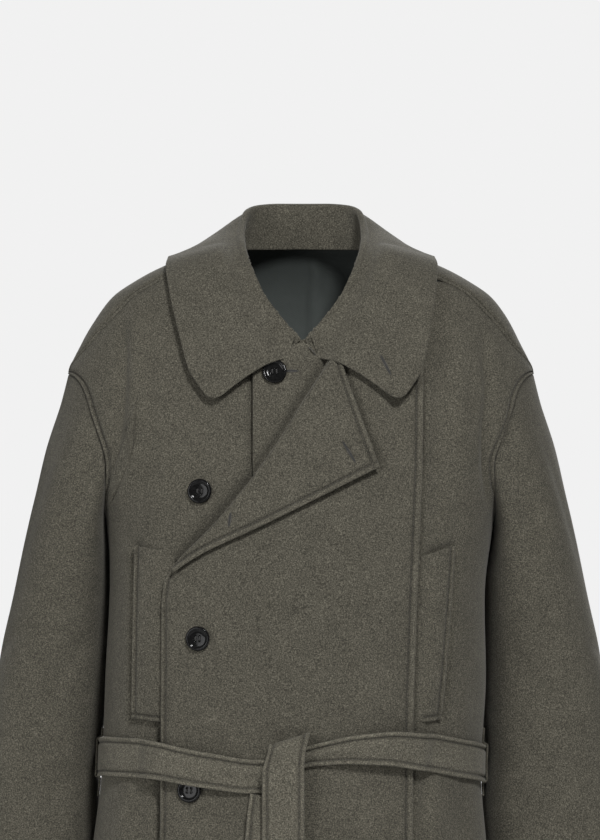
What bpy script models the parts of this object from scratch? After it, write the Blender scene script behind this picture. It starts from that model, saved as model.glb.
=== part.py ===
"""A belted wrap coat in thick felted wool, worn shape, with nobody in it.

Sizes below are millimetres; the meshes are made in metres. +X is the wearer's
left, the front faces -Y and +Z is up. The origin is inside the neck, at the
height where the coat rests on the shoulders.
"""

import math

import bmesh
import bpy
import numpy as np

MM = 0.001
WELD = 1e-6

# Cloth
WOOL = 2.6
LINING = 1.0
SEAM_TRIM = 0.2
LAYER = 0.6
LAP = 12.0

# Where the front is looked at from: places on the front are measured as seen from here
VIEW_DISTANCE = 5000.0
VIEW_HEIGHT = -184.0

# Lengths
HEM = -1100.0
ARMPIT = -292.0
SHOULDER_TIP = -135.0

# Body sections, from the neck down to the hem
BODY_COLUMNS = ("height", "half_width", "front", "back", "middle", "squareness")
BODY = np.array([
    (12, 58, 52, 58, 2, 2.0),
    (4, 80, 64, 72, 2, 2.0),
    (-4, 108, 70, 82, 2, 2.05),
    (-17, 147, 77, 92, 2, 2.1),
    (-36, 183, 86, 103, 2, 2.15),
    (-50, 203, 92, 109, 2, 2.2),
    (-70, 219, 99, 115, 2, 2.25),
    (-100, 236, 110, 121, 1, 2.3),
    (-135, 251, 121, 127, 1, 2.35),
    (-170, 254, 129, 131, 1, 2.5),
    (-230, 234, 138, 136, 0, 2.7),
    (-292, 209, 145, 138, 0, 2.85),
    (-370, 202, 149, 136, -3, 2.9),
    (-470, 205, 147, 131, -5, 2.85),
    (-551, 204, 139, 121, -9, 2.75),
    (-640, 212, 147, 134, -11, 2.65),
    (-850, 234, 161, 159, -13, 2.45),
    (-1100, 262, 176, 182, -14, 2.2),
])

# Large folds of the body cloth: angle round the body from the centre front, wearer's left positive
FOLD_COLUMNS = ("angle", "top", "deepest", "low", "half_width", "depth")
FOLDS = np.array([
    (-50, -85, -215, -330, 17, 9),
    (50, -105, -235, -335, 17, 8),
    (131, -150, -240, -380, 18, 8),
    (-129, -140, -250, -390, 18, 9),
    (66, -610, -1150, -1500, 30, 9),
    (103, -600, -1150, -1500, 34, 13),
    (148, -620, -1150, -1500, 36, 12),
    (176, -640, -1150, -1500, 30, 9),
    (-153, -600, -1150, -1500, 36, 13),
    (-112, -620, -1150, -1500, 34, 12),
    (-70, -600, -1150, -1500, 30, 9),
])

# Neckline: angle from the centre front and height
NECKLINE = np.array([
    (0, -108),
    (6, -100),
    (12, -80),
    (18, -57),
    (27, -27),
    (38, -15),
    (55, -5),
    (90, 3),
    (135, 6),
    (180, 7),
])

# Shoulder seam, set forward of the ridge, as seen from the front: outward and height
SHOULDER_SEAM = np.array([
    (79, -17),
    (121, -22),
    (150, -31),
    (170, -42),
    (186, -54),
    (200, -68),
    (216, -86),
    (232, -106),
])

# Armhole oval on the body
ARMHOLE_FRONT = 36.0
ARMHOLE_BACK = 33.0
ARMHOLE_TOP_BOW = 0.5
ARMHOLE_LOW_BOW = 1.2

# Sleeve sections: outer edge and inner edge as seen from the front, and depth
SLEEVE_COLUMNS = ("outer", "outer_height", "inner", "inner_height", "front", "back")
SLEEVE = np.array([
    (251, -135, 209, -292, -86, 90),
    (259, -166, 208.8, -301, -86, 94),
    (275, -215, 207, -316, -82, 100),
    (288, -270, 204.3, -342, -74, 107),
    (299, -317, 202.6, -370, -66, 112),
    (312, -378, 203, -412, -56, 115),
    (323, -425, 203.8, -448, -48, 116),
    (338, -500, 206.2, -510, -38, 115),
    (344.5, -551, 209.8, -553, -35, 111),
    (350, -600, 208.6, -602, -32, 107),
    (356, -724, 219.5, -724, -26, 100),
])
SLEEVE_SQUARENESS = 2.4
SLEEVE_CLEAR = 2.0
SLEEVE_SETTLE = 0.35
SLEEVE_CROWDING = 1.15
SLEEVE_SHIFT = 1.0

# Front edges and seams, as seen from the front: outward to the wearer's left and height
LEFT_SEAM = np.array([
    (116, HEM),
    (119, -760),
    (121, -637),
    (122, -514),
    (125, -401),
    (129, -300),
    (132, -233),
    (133, -131),
    (128, -70),
    (121, -22),
])
WRAP_EDGE = np.array([
    (-160, HEM),
    (-152, -760),
    (-149, -637),
    (-148, -525),
    (-147, -382),
])
WRAP_FOLD = np.array([
    (-144, -361),
    (-124, -335),
    (-92, -297),
    (-52, -248),
    (-22, -205),
    (5, -162),
    (34, -118),
    (48, -98),
])
UNDERLAP = 55.0
UNDERLAP_TOP = -121.0
PLACKET = {"edge": -51.0, "inner": 62.0, "top": -111.0, "low": -372.0}
LAPEL_LOW_EDGE = np.array([
    (-136, -347),
    (-108, -329),
    (-53, -304),
    (20, -269),
    (85, -236),
])
LAPEL_TOP = (40.0, -109.0)
LAPEL_RISE = 6.0
SEAM_TOP_EASE = 40.0
PANEL_GRIP = 2.0

# Layer heights over the body surface, outer face
PLACKET_LIFT = WOOL + LAYER
WRAP_LIFT = 2 * (WOOL + LAYER) + 0.4
LAPEL_LIFT = WOOL + LAYER + 0.2
LAPPED_LIFT = WOOL + 0.5
WELT_LIFT = WOOL + 0.4

# Where the wrap comes down: below the neck, and in degrees beside the lapped seam
WRAP_NECK = -20.0
WRAP_NECK_EASE = 70.0
LAP_FLAT = 4.2
LAP_FALL = 6.0

# Pocket welts, four corners as seen: top inner, top outer, low outer, low inner
WELT_LEFT = np.array([(131, -332), (166, -320), (152, -507), (126, -511)])
WELT_RIGHT = np.array([(-136, -326), (-176, -320), (-180, -506), (-141, -511)])

# Collar: a row from the centre back (0) to the front end (1)
COLLAR_COLUMNS = (
    "part", "neck_angle", "roll_x", "roll_y", "roll_z", "edge_right", "edge_left", "edge_y", "edge_z",
)
COLLAR = np.array([
    (0.00, 180, 0, 72, 53, 0, 0, 117, -40),
    (0.12, 157, 26, 71, 53, 38, 38, 117, -39),
    (0.25, 133, 49, 62, 51, 84, 85, 108, -36),
    (0.36, 113, 61, 42, 45, 122, 124, 82, -26),
    (0.46, 96, 65.5, 14, 30, 141, 142, 40, -12),
    (0.54, 79, 66.5, -14, 17, 144, 144, -4, -8),
    (0.62, 60, 65, -42, 5, 144, 144, -36, -19),
    (0.72, 28, 58, -74, -17, 139, 141, -80, -52),
    (0.82, 17, 44, -95, -47, 130, 135, -102, -90),
    (0.92, 8, 20, -111, -79, 119, 127, -122, -130),
    (1.00, 2.4, 5.6, -117, -95, 94, 103, -132, -168),
])
COLLAR_MIDDLE = 3.0
COLLAR_ROLL = 4.5
COLLAR_SEAM = 0.8
COLLAR_CLEAR_RIGHT = 12.0
COLLAR_CLEAR_LEFT = 15.5
COLLAR_CLEAR_BACK = 6.0
COLLAR_FRONT_START = 0.55
COLLAR_FRONT_EASE = 0.25
COLLAR_LEAD = 0.33
COLLAR_CROWN = 0.1
COLLAR_TAIL = 0.35
COLLAR_TIP_CUT = 0.4
COLLAR_ROLL_TURNS = (180.0, 120.0, 60.0, 0.0)

# Belt: rows round the waist as angle from the centre front, height of its middle and width
BELT_COLUMNS = ("angle", "height", "width")
BELT = np.array([
    (-180, -552, 41),
    (-120, -551, 41),
    (-88, -548, 42),
    (-62, -542, 42),
    (-42, -541, 42),
    (-24, -551, 40),
    (-11, -558, 37),
    (-2, -556, 34),
    (3, -538, 23),
    (9, -533, 26),
    (18, -528, 32),
    (26, -527, 37),
    (38, -533, 41),
    (56, -544, 41),
    (88, -554, 41),
    (120, -553, 41),
    (180, -552, 41),
])
BELT_THICK = 4.0
BELT_CLEAR = 0.9
BELT_FIRST = -1.0
BELT_LAST = 350.0
BELT_LEFT_STEP = (6.0, 5.0)
BELT_RIGHT_STEP = (8.0, 6.0)
BELT_BUTTON_WIDTH = 11.0
BELT_BUTTON_CLEAR = 2.2

# Belt ends at the half knot, as seen, with their height over the wrap, width and lean across the width
END_COLUMNS = ("aside", "height", "over_wrap", "width", "lean")
FRONT_END = np.array([
    (-14, -541, 4.4, 36, 8),
    (-14, -534, 5.4, 40, 10),
    (-14, -529.5, 9.2, 40, 12),
    (-14, -528, 13.2, 40, 14),
    (-15, -531, 16.6, 41, 15),
    (-17, -544, 18.2, 43, 11),
    (-18, -562, 18.2, 44, 5),
    (-18, -585, 17.4, 44, 1),
    (-18, -640, 14.5, 44, 0),
    (-20, -720, 12.5, 44, 0),
    (-23, -810, 12.0, 44, 0),
    (-26, -905, 12.0, 44, 0),
])
BEHIND_END = np.array([
    (-34, -590.8, 4.6, 38, -6),
    (-36, -612, 5.6, 40, -4),
    (-38, -640, 5.2, 41, -2),
    (-44, -720, 4.5, 42, 0),
    (-50, -800, 4.5, 42, 0),
    (-55, -880, 4.5, 42, 0),
])
FRONT_END_THICK = 3.6

# Belt loops on the side seams
LOOP_WIDTH = 9.0
LOOP_THICK = 1.6
LOOP_BEND = 9.0
LOOP_TOP = -516.0
LOOP_LOW = -590.0
LOOP_CLEAR = 0.5
LOOP_SLACK = 0.2
LOOP_SIDE = 90.0

# Buttons: centre as seen, and the layer under each
BUTTON_RADIUS = 13.0
BUTTON_THICK = 4.2
BUTTON_CLEAR = 0.3
BUTTON_COLUMNS = ("radius_share", "thickness_share")
BUTTON_PROFILE = np.array([
    (0.0, 0.0),
    (0.78, 0.0),
    (0.96, 0.25),
    (1.0, 0.6),
    (0.93, 0.95),
    (0.82, 1.0),
    (0.7, 0.72),
    (0.0, 0.62),
])
BUTTONS = {
    "button_neck": (-27.5, -132.0, PLACKET_LIFT),
    "button_chest": (-108.0, -261.0, BUTTON_CLEAR),
    "button_wrap": (-110.0, -420.0, WRAP_LIFT),
    "button_waist": (-119.0, -584.0, WRAP_LIFT),
}

# How finely the cloth is cut into faces
SIDE_ROWS = np.array([
    HEM, -990, -880, -780, -700, -640, -596, -573, -551, -529, -506, -470, -420, -360, ARMPIT,
])
ARMHOLE_STEPS = 10
SHOULDER_STEPS = 8
INNER_SHOULDER_STEPS = 2
BACK_COLUMNS = 20
WRAP_COLUMNS = 14
NECK_STEPS = 10
UNDERLAP_STEPS = 2
SLEEVE_STEPS = 17
LINING_MARGIN = 2
PLACKET_COLUMNS = 8
PLACKET_ROWS = 10
LAPEL_ROWS = 13
LAPEL_COLUMNS = 9
WELT_COLUMNS = 4
WELT_ROWS = 9
COLLAR_ROWS = 35
COLLAR_FALL_STEPS = 7
BELT_STEPS = 61
BELT_ACROSS = 4
LOOP_ROWS = 15
LOOP_ACROSS = 3
BUTTON_STEPS = 20

# How finely the surface directions are measured, in degrees and millimetres, and a first guess of depth
NORMAL_TURN = 0.2
NORMAL_RISE = 0.5
FIRST_DEPTH = -130.0
DEPTH_ROUNDS = 6

# Colour and roughness of each material
WOOL_LOOK = ((0.095, 0.09, 0.072, 1.0), 0.9)
LINING_LOOK = ((0.02, 0.026, 0.024, 1.0), 0.6)
BUTTON_LOOK = ((0.006, 0.006, 0.006, 1.0), 0.2)


def smooth(at, keys, values):
    """Read a table column at any place: a curve through the rows that never overshoots."""
    keys = np.asarray(keys, float)
    values = np.asarray(values, float)
    if keys[0] > keys[-1]:
        keys = keys[::-1]
        values = values[::-1]
    step = np.diff(keys)
    slope = np.diff(values) / step
    tangent = np.zeros_like(values)
    tangent[0] = slope[0]
    tangent[-1] = slope[-1]
    same_way = slope[:-1] * slope[1:] > 0
    before = 2 * step[1:] + step[:-1]
    after = step[1:] + 2 * step[:-1]
    safe = np.where(same_way, slope[:-1] * slope[1:], 1.0)
    shared = np.where(same_way, before * slope[1:] + after * slope[:-1], 1.0)
    mean = (before + after) * safe / shared
    tangent[1:-1] = np.where(same_way, mean, 0.0)
    at = np.clip(np.asarray(at, float), keys[0], keys[-1])
    index = np.clip(np.searchsorted(keys, at, side="right") - 1, 0, len(keys) - 2)
    gap = step[index]
    u = (at - keys[index]) / gap
    low = values[index] * (1 + 2 * u) * (1 - u) ** 2 + tangent[index] * gap * u * (1 - u) ** 2
    high = values[index + 1] * u * u * (3 - 2 * u) + tangent[index + 1] * gap * u * u * (u - 1)
    return low + high


def read(table, columns, at):
    """All columns of a table at the places asked for, by name."""
    return {name: smooth(at, table[:, 0], table[:, number]) for number, name in enumerate(columns)}


def ease(value):
    """0 below 0, 1 above 1, and a soft step between."""
    value = np.clip(value, 0.0, 1.0)
    return value * value * (3 - 2 * value)


def fold_height(angle, height, half_width):
    """How far the large folds move the cloth in or out."""
    total = np.zeros(np.broadcast(angle, height).shape)
    for row in FOLDS:
        fold = dict(zip(FOLD_COLUMNS, row))
        aside = (np.asarray(angle) - fold["angle"] + 180.0) % 360.0 - 180.0
        across = np.radians(aside) * half_width / fold["half_width"]
        above = ease((fold["top"] - height) / (fold["top"] - fold["deepest"]))
        below = ease((height - fold["low"]) / (fold["deepest"] - fold["low"]))
        total = total - fold["depth"] * np.exp(-across ** 2) * np.minimum(above, below)
    return total


def oval_reach(aside, ahead, squareness):
    """How far a squared oval reaches in a direction, as a share of its half sizes."""
    return (np.abs(aside) ** squareness + np.abs(ahead) ** squareness) ** (-1.0 / squareness)


def body_surface(angle, height):
    """A point of the body surface at an angle round from the centre front and a height."""
    angle = np.asarray(angle, float)
    height = np.asarray(height, float)
    ring = read(BODY, BODY_COLUMNS, height)
    turn = np.radians(angle)
    aside = np.sin(turn)
    ahead = np.cos(turn)
    reach = oval_reach(aside, ahead, ring["squareness"])
    depth = np.where(ahead > 0, ring["front"], ring["back"])
    out = np.stack([aside * depth, -ahead * ring["half_width"]], axis=-1)
    out = out / np.linalg.norm(out, axis=-1, keepdims=True)
    fold = fold_height(angle, height, ring["half_width"])
    x = ring["middle"] + ring["half_width"] * aside * reach + fold * out[..., 0]
    y = -depth * ahead * reach + fold * out[..., 1]
    return np.stack([x, y, height + 0.0 * x], axis=-1)


def body_normal(angle, height):
    """The outward direction of the body surface."""
    across = body_surface(angle + NORMAL_TURN, height) - body_surface(angle - NORMAL_TURN, height)
    up = body_surface(angle, height + NORMAL_RISE) - body_surface(angle, height - NORMAL_RISE)
    out = np.cross(across, up)
    return out / np.linalg.norm(out, axis=-1, keepdims=True)


def on_body(spots, lift=0.0):
    """Points a given height over the body surface, for spots of angle and height."""
    angle = spots[..., 0]
    height = spots[..., 1]
    lift = np.asarray(lift, float)[..., None] if np.ndim(lift) else lift
    return body_surface(angle, height) + lift * body_normal(angle, height)


def spots_seen(places):
    """Angle and height of the front surface spots that are seen at these places."""
    places = np.asarray(places, float)
    depth = np.full(places.shape[:-1], FIRST_DEPTH)
    for _ in range(DEPTH_ROUNDS):
        near = 1 + depth / VIEW_DISTANCE
        x = places[..., 0] * near
        height = VIEW_HEIGHT + (places[..., 1] - VIEW_HEIGHT) * near
        ring = read(BODY, BODY_COLUMNS, height)
        share = np.clip((x - ring["middle"]) / ring["half_width"], -1.0, 1.0)
        rest = (1 - np.abs(share) ** ring["squareness"]) ** (1 / ring["squareness"])
        angle = np.degrees(np.arctan2(share, rest))
        depth = -ring["front"] * rest
    return np.stack([angle, height], axis=-1)


def along(points, count):
    """Evenly spaced points on a smooth curve through the given ones."""
    points = np.asarray(points, float)
    length = np.concatenate([[0.0], np.cumsum(np.linalg.norm(np.diff(points, axis=0), axis=1))])
    places = np.linspace(0.0, length[-1], count)
    return np.stack([smooth(places, length, points[:, k]) for k in range(points.shape[1])], axis=-1)


def at_heights(points, heights):
    """Points of a rising curve at the given heights."""
    return np.stack([smooth(heights, points[:, 1], points[:, 0]), heights], axis=-1)


def patch(low, high, near, far, grip=1.0):
    """A grid of spots between four edges that share corners; more grip keeps a side's bend close to it."""
    s = np.linspace(0.0, 1.0, len(low))[None, :, None]
    t = np.linspace(0.0, 1.0, len(near))[:, None, None]
    ruled = (1 - t) * low[None] + t * high[None]
    near_bend = near[:, None] - ruled[:, :1]
    far_bend = far[:, None] - ruled[:, -1:]
    return ruled + (1 - s) ** grip * near_bend + s ** grip * far_bend


def material(name, colour, roughness):
    """One plain material."""
    made = bpy.data.materials.new(name)
    made.use_nodes = True
    shader = made.node_tree.nodes["Principled BSDF"]
    shader.inputs["Base Color"].default_value = colour
    shader.inputs["Roughness"].default_value = roughness
    return made


def finish(mesh_edit, name, look):
    """Turn an edit mesh into a named object with its own material."""
    bmesh.ops.recalc_face_normals(mesh_edit, faces=mesh_edit.faces)
    mesh = bpy.data.meshes.new(name)
    mesh_edit.to_mesh(mesh)
    mesh_edit.free()
    made = bpy.data.objects.new(name, mesh)
    mesh.materials.append(material(name, *look))
    bpy.context.scene.collection.objects.link(made)
    return made


def wall(name, outer, inner, look, tube=False):
    """A closed wall of cloth between an outer and an inner grid of points."""
    rows, columns = outer.shape[:2]
    made = bmesh.new()
    outside = [[made.verts.new(outer[r, c] * MM) for c in range(columns)] for r in range(rows)]
    inside = [[made.verts.new(inner[r, c] * MM) for c in range(columns)] for r in range(rows)]
    steps = columns if tube else columns - 1
    for r in range(rows - 1):
        for c in range(steps):
            d = (c + 1) % columns
            made.faces.new((outside[r][c], outside[r][d], outside[r + 1][d], outside[r + 1][c]))
            made.faces.new((inside[r][c], inside[r + 1][c], inside[r + 1][d], inside[r][d]))
    for r, flip in ((0, False), (rows - 1, True)):
        for c in range(steps):
            d = (c + 1) % columns
            rim = [outside[r][c], inside[r][c], inside[r][d], outside[r][d]]
            made.faces.new(rim[::-1] if flip else rim)
    if not tube:
        for c, flip in ((0, True), (columns - 1, False)):
            for r in range(rows - 1):
                rim = [outside[r][c], inside[r][c], inside[r + 1][c], outside[r + 1][c]]
                made.faces.new(rim[::-1] if flip else rim)
    return finish(made, name, look)


def trim(outer, inner, amount):
    """Draw the four edges of a wall back a little, which leaves the seam gaps."""
    outer = outer.copy()
    inner = inner.copy()
    every = slice(None)
    ends = (((0,), (1,)), ((-1,), (-2,)))
    sides = (((every, 0), (every, 1)), ((every, -1), (every, -2)))
    for edge, beside in ends + sides:
        back = outer[beside] - outer[edge]
        back = amount * back / np.linalg.norm(back, axis=-1, keepdims=True)
        outer[edge] = outer[edge] + back
        inner[edge] = inner[edge] + back
    return outer, inner


def panel(name, spots, lift=0.0, thick=WOOL, look=WOOL_LOOK):
    """A flat-cut piece laid on the body surface."""
    lift = lift + np.zeros(spots.shape[:2])
    outer, inner = trim(on_body(spots, lift), on_body(spots, lift - thick), SEAM_TRIM)
    return wall(name, outer, inner, look)


def grid_normals(points, tube=False):
    """Directions square to a grid of points."""
    along_rows = np.gradient(points, axis=0)
    if tube:
        along_columns = np.roll(points, -1, axis=1) - np.roll(points, 1, axis=1)
    else:
        along_columns = np.gradient(points, axis=1)
    out = np.cross(along_columns, along_rows)
    return out / np.linalg.norm(out, axis=-1, keepdims=True)


def mirrored(spots):
    """The same spots on the wearer's right."""
    return spots * np.array([-1.0, 1.0])


def armhole(turn):
    """Armhole spots on the wearer's left: turn 0 at the shoulder tip, a quarter turn at the front."""
    turn = np.asarray(turn, float)
    middle = (SHOULDER_TIP + ARMPIT) / 2
    half = (SHOULDER_TIP - ARMPIT) / 2
    side = np.sin(turn)
    bow = np.where(np.cos(turn) > 0, ARMHOLE_TOP_BOW, ARMHOLE_LOW_BOW)
    reach = np.where(side > 0, -ARMHOLE_FRONT, ARMHOLE_BACK) * np.abs(side) ** bow
    return np.stack([90.0 + reach, middle + half * np.cos(turn)], axis=-1)


def neckline(angle):
    """Neckline spots at angles measured on either side of the centre front."""
    angle = np.asarray(angle, float)
    folded = np.abs((angle + 180.0) % 360.0 - 180.0)
    return np.stack([angle, smooth(folded, NECKLINE[:, 0], NECKLINE[:, 1])], axis=-1)


def shoulder_seam():
    """Shoulder seam spots on the wearer's left, from the neck to the shoulder tip."""
    seen = spots_seen(SHOULDER_SEAM)
    neck = neckline(seen[0, 0])
    tip = np.array([[90.0, SHOULDER_TIP]])
    seam = np.concatenate([neck[None], seen[1:], tip])
    inner = along(seam[:2], INNER_SHOULDER_STEPS + 1)
    outer = along(seam[1:], SHOULDER_STEPS + 1)
    return inner, outer


def seam_spots(seam, aside, top):
    """A long front seam from the hem to its top spot, moved sideways by a lap."""
    rising = np.linspace(ARMPIT, seam[-1, 1], ARMHOLE_STEPS + 1)[1:]
    seen = at_heights(seam, np.concatenate([SIDE_ROWS, rising]))
    seen[:, 0] += aside * ease((seam[-1, 1] - seen[:, 1]) / SEAM_TOP_EASE)
    spots = spots_seen(seen)
    spots[0, 1] = HEM
    spots[-1] = top
    return spots


def side_edge():
    """Side seam and front of the armhole on the wearer's left, hem to shoulder tip."""
    seam = np.stack([np.full(len(SIDE_ROWS), 90.0), SIDE_ROWS], axis=-1)
    front = armhole(np.linspace(math.pi, 0.0, ARMHOLE_STEPS + 1))
    return np.concatenate([seam, front[1:]])


def hem_spots(first, last, count):
    """Spots along the hem between two angles."""
    angle = np.linspace(first, last, count)
    return np.stack([angle, np.full(count, HEM)], axis=-1)


def make_back():
    """Back and its lining: side seams, armholes and forward shoulder seams are its two sides."""
    inner, outer = shoulder_seam()
    seam = np.stack([np.full(len(SIDE_ROWS), 90.0), SIDE_ROWS], axis=-1)
    hole = armhole(np.linspace(-math.pi, 0.0, ARMHOLE_STEPS + 1))
    left = np.concatenate([seam, hole[1:], outer[::-1][1:], inner[::-1][1:]])
    right = left * np.array([-1.0, 1.0]) + np.array([360.0, 0.0])
    low = hem_spots(90.0, 270.0, BACK_COLUMNS + 1)
    high = neckline(np.linspace(left[-1, 0], right[-1, 0], BACK_COLUMNS + 1))
    spots = patch(low, high, left, right)
    panel("back", spots)
    first_row = len(SIDE_ROWS) + ARMHOLE_STEPS // 2
    lined = spots[first_row:, LINING_MARGIN:-LINING_MARGIN]
    panel("lining_back", lined, -WOOL - 2 * LAYER, LINING, LINING_LOOK)


def make_side_left():
    """Side part of the left front, from under the lapped seam to the side seam and armhole."""
    inner, outer = shoulder_seam()
    far = side_edge()
    near = seam_spots(LEFT_SEAM, -LAP, outer[0])
    low = hem_spots(near[0, 0], far[0, 0], SHOULDER_STEPS + 1)
    panel("side_left", patch(low, outer, near, far))


def wrap_lift(spots):
    """Height of the outer wrap over the body: high over the under layers, low at the lapped seam."""
    seam_line = spots_seen(LEFT_SEAM)
    seam = smooth(spots[..., 1], seam_line[:, 1], seam_line[:, 0])
    raised = ease((WRAP_NECK - spots[..., 1]) / WRAP_NECK_EASE)
    start = seam - LAP_FALL * (1 + raised) - LAP_FLAT
    down = ease((spots[..., 0] - start) / (seam - LAP_FLAT - start))
    return WRAP_LIFT * raised * (1 - down) + LAPPED_LIFT * down


def make_wrap():
    """Outer left front, from its free edge and the turn of the lapel to the lapped seam."""
    inner, outer = shoulder_seam()
    edge = at_heights(WRAP_EDGE, SIDE_ROWS[SIDE_ROWS < WRAP_EDGE[-1, 1]])
    rest = len(SIDE_ROWS) + ARMHOLE_STEPS - len(edge)
    turned = along(np.concatenate([WRAP_EDGE[-1:], WRAP_FOLD]), rest)
    near = spots_seen(np.concatenate([edge, turned]))
    near[0, 1] = HEM
    far = seam_spots(LEFT_SEAM, 0.0, outer[0])
    neck_angles = np.linspace(near[-1, 0], inner[0, 0], WRAP_COLUMNS - INNER_SHOULDER_STEPS + 1)
    neck = neckline(neck_angles)
    start_drop = near[-1, 1] - neck[0, 1]
    neck[:, 1] += start_drop * (1 - np.linspace(0, 1, len(neck))) ** 2
    high = np.concatenate([neck, inner[1:]])
    low = hem_spots(near[0, 0], far[0, 0], WRAP_COLUMNS + 1)
    spots = patch(low, high, near, far)
    panel("front_left", spots, wrap_lift(spots))


def make_front_right():
    """Under front on the wearer's right, from the side seam to the edge that hides under the wrap."""
    inner, outer = shoulder_seam()
    near = mirrored(side_edge())
    heights = np.concatenate([SIDE_ROWS, np.linspace(ARMPIT, UNDERLAP_TOP, ARMHOLE_STEPS + 1)[1:]])
    far = spots_seen(np.stack([np.full(len(heights), UNDERLAP), heights], axis=-1))
    far[0, 1] = HEM
    neck = neckline(np.linspace(-inner[0, 0], 0.0, NECK_STEPS + 1))
    over = along(np.stack([neck[-1], far[-1]]), UNDERLAP_STEPS + 1)
    high = np.concatenate([mirrored(outer[::-1]), mirrored(inner[::-1])[1:], neck[1:], over[1:]])
    low = hem_spots(near[0, 0], far[0, 0], len(high))
    panel("front_right", patch(low, high, near, far, PANEL_GRIP))


def make_placket():
    """Narrow under layer of the left front, seen between the collar ends and the wrap."""
    aside = np.linspace(PLACKET["edge"], PLACKET["inner"], PLACKET_COLUMNS)
    height = np.linspace(PLACKET["low"], PLACKET["top"], PLACKET_ROWS)
    places = np.stack(np.meshgrid(aside, height), axis=-1)
    panel("inner_placket", spots_seen(places), PLACKET_LIFT)


def make_lapel():
    """Turned-back top of the wrap: a wedge from the turn of the front edge to its top edge."""
    fold = along(np.concatenate([WRAP_FOLD[1:-2], [LAPEL_TOP]]), LAPEL_ROWS)
    low = along(LAPEL_LOW_EDGE, LAPEL_ROWS)
    t = np.linspace(0.0, 1.0, LAPEL_COLUMNS)[None, :, None]
    places = fold[:, None] * (1 - t) + low[:, None] * t
    spots = spots_seen(places)
    rise = LAPEL_RISE * t[..., 0] * np.linspace(0.0, 1.0, LAPEL_ROWS)[:, None]
    panel("lapel", spots, wrap_lift(spots) + LAPEL_LIFT + rise)


def make_welt(name, corners):
    """A long welt on a side front, sewn beside the lapped seam."""
    s = np.linspace(0.0, 1.0, WELT_COLUMNS)[None, :, None]
    t = np.linspace(0.0, 1.0, WELT_ROWS)[:, None, None]
    top = corners[0] * (1 - s) + corners[1] * s
    low = corners[3] * (1 - s) + corners[2] * s
    panel(name, spots_seen(low * (1 - t) + top * t), WELT_LIFT)


def make_sleeve(name, sign):
    """A sleeve tube from the armhole to the cuff."""
    turns = np.linspace(0.0, 2 * math.pi, 2 * ARMHOLE_STEPS, endpoint=False)
    hole = armhole(np.where(turns > math.pi, turns - 2 * math.pi, turns))
    if sign < 0:
        hole = mirrored(hole)
    flush = (1 + np.cos(turns)) / 2
    seat = on_body(hole, SLEEVE_CLEAR * (1 - flush))
    part = np.linspace(0.0, 1.0, SLEEVE_STEPS + 1) ** SLEEVE_CROWDING
    key = np.linspace(0.0, 1.0, len(SLEEVE))
    ring = {column: smooth(part, key, SLEEVE[:, k])[:, None] for k, column in enumerate(SLEEVE_COLUMNS)}
    middle = smooth(ring["inner_height"], BODY[:, 0], BODY[:, 4])
    outer_x = sign * ring["outer"] + (1 - part[:, None]) * SLEEVE_SHIFT
    inner_x = middle + sign * ring["inner"]
    reach = oval_reach(np.cos(turns), np.sin(turns), SLEEVE_SQUARENESS)
    out = (1 + np.cos(turns) * reach) / 2
    back = (1 - np.sin(turns) * reach) / 2
    x = inner_x + out * (outer_x - inner_x)
    y = ring["front"] + back * (ring["back"] - ring["front"])
    z = ring["inner_height"] + out * (ring["outer_height"] - ring["inner_height"])
    tube = np.stack([x, y, z], axis=-1)
    settle = 1 - ease(part / SLEEVE_SETTLE)[:, None, None]
    tube = tube + (seat - tube[0])[None] * settle
    normals = grid_normals(tube, tube=True) * sign
    square = body_normal(hole[:, 0], hole[:, 1])
    normals[0] = normals[0] * (1 - flush[:, None]) + square * flush[:, None]
    normals[0] /= np.linalg.norm(normals[0], axis=-1, keepdims=True)
    inner = tube - WOOL * normals
    away = tube[1] - tube[0]
    away = 2 * SEAM_TRIM * away / np.linalg.norm(away, axis=-1, keepdims=True)
    tube[0] += away
    inner[0] += away
    wall(name, tube, inner, WOOL_LOOK, tube=True)


def body_lift(points):
    """Nearest body spot to each point, and the point's height over it."""
    ring = read(BODY, BODY_COLUMNS, points[..., 2])
    depth = np.where(points[..., 1] < 0, ring["front"], ring["back"])
    aside = (points[..., 0] - ring["middle"]) / ring["half_width"]
    angle = np.degrees(np.arctan2(aside, -points[..., 1] / depth))
    out = body_normal(angle, points[..., 2])
    base = body_surface(angle, points[..., 2])
    return np.sum((points - base) * out, axis=-1), out


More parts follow.
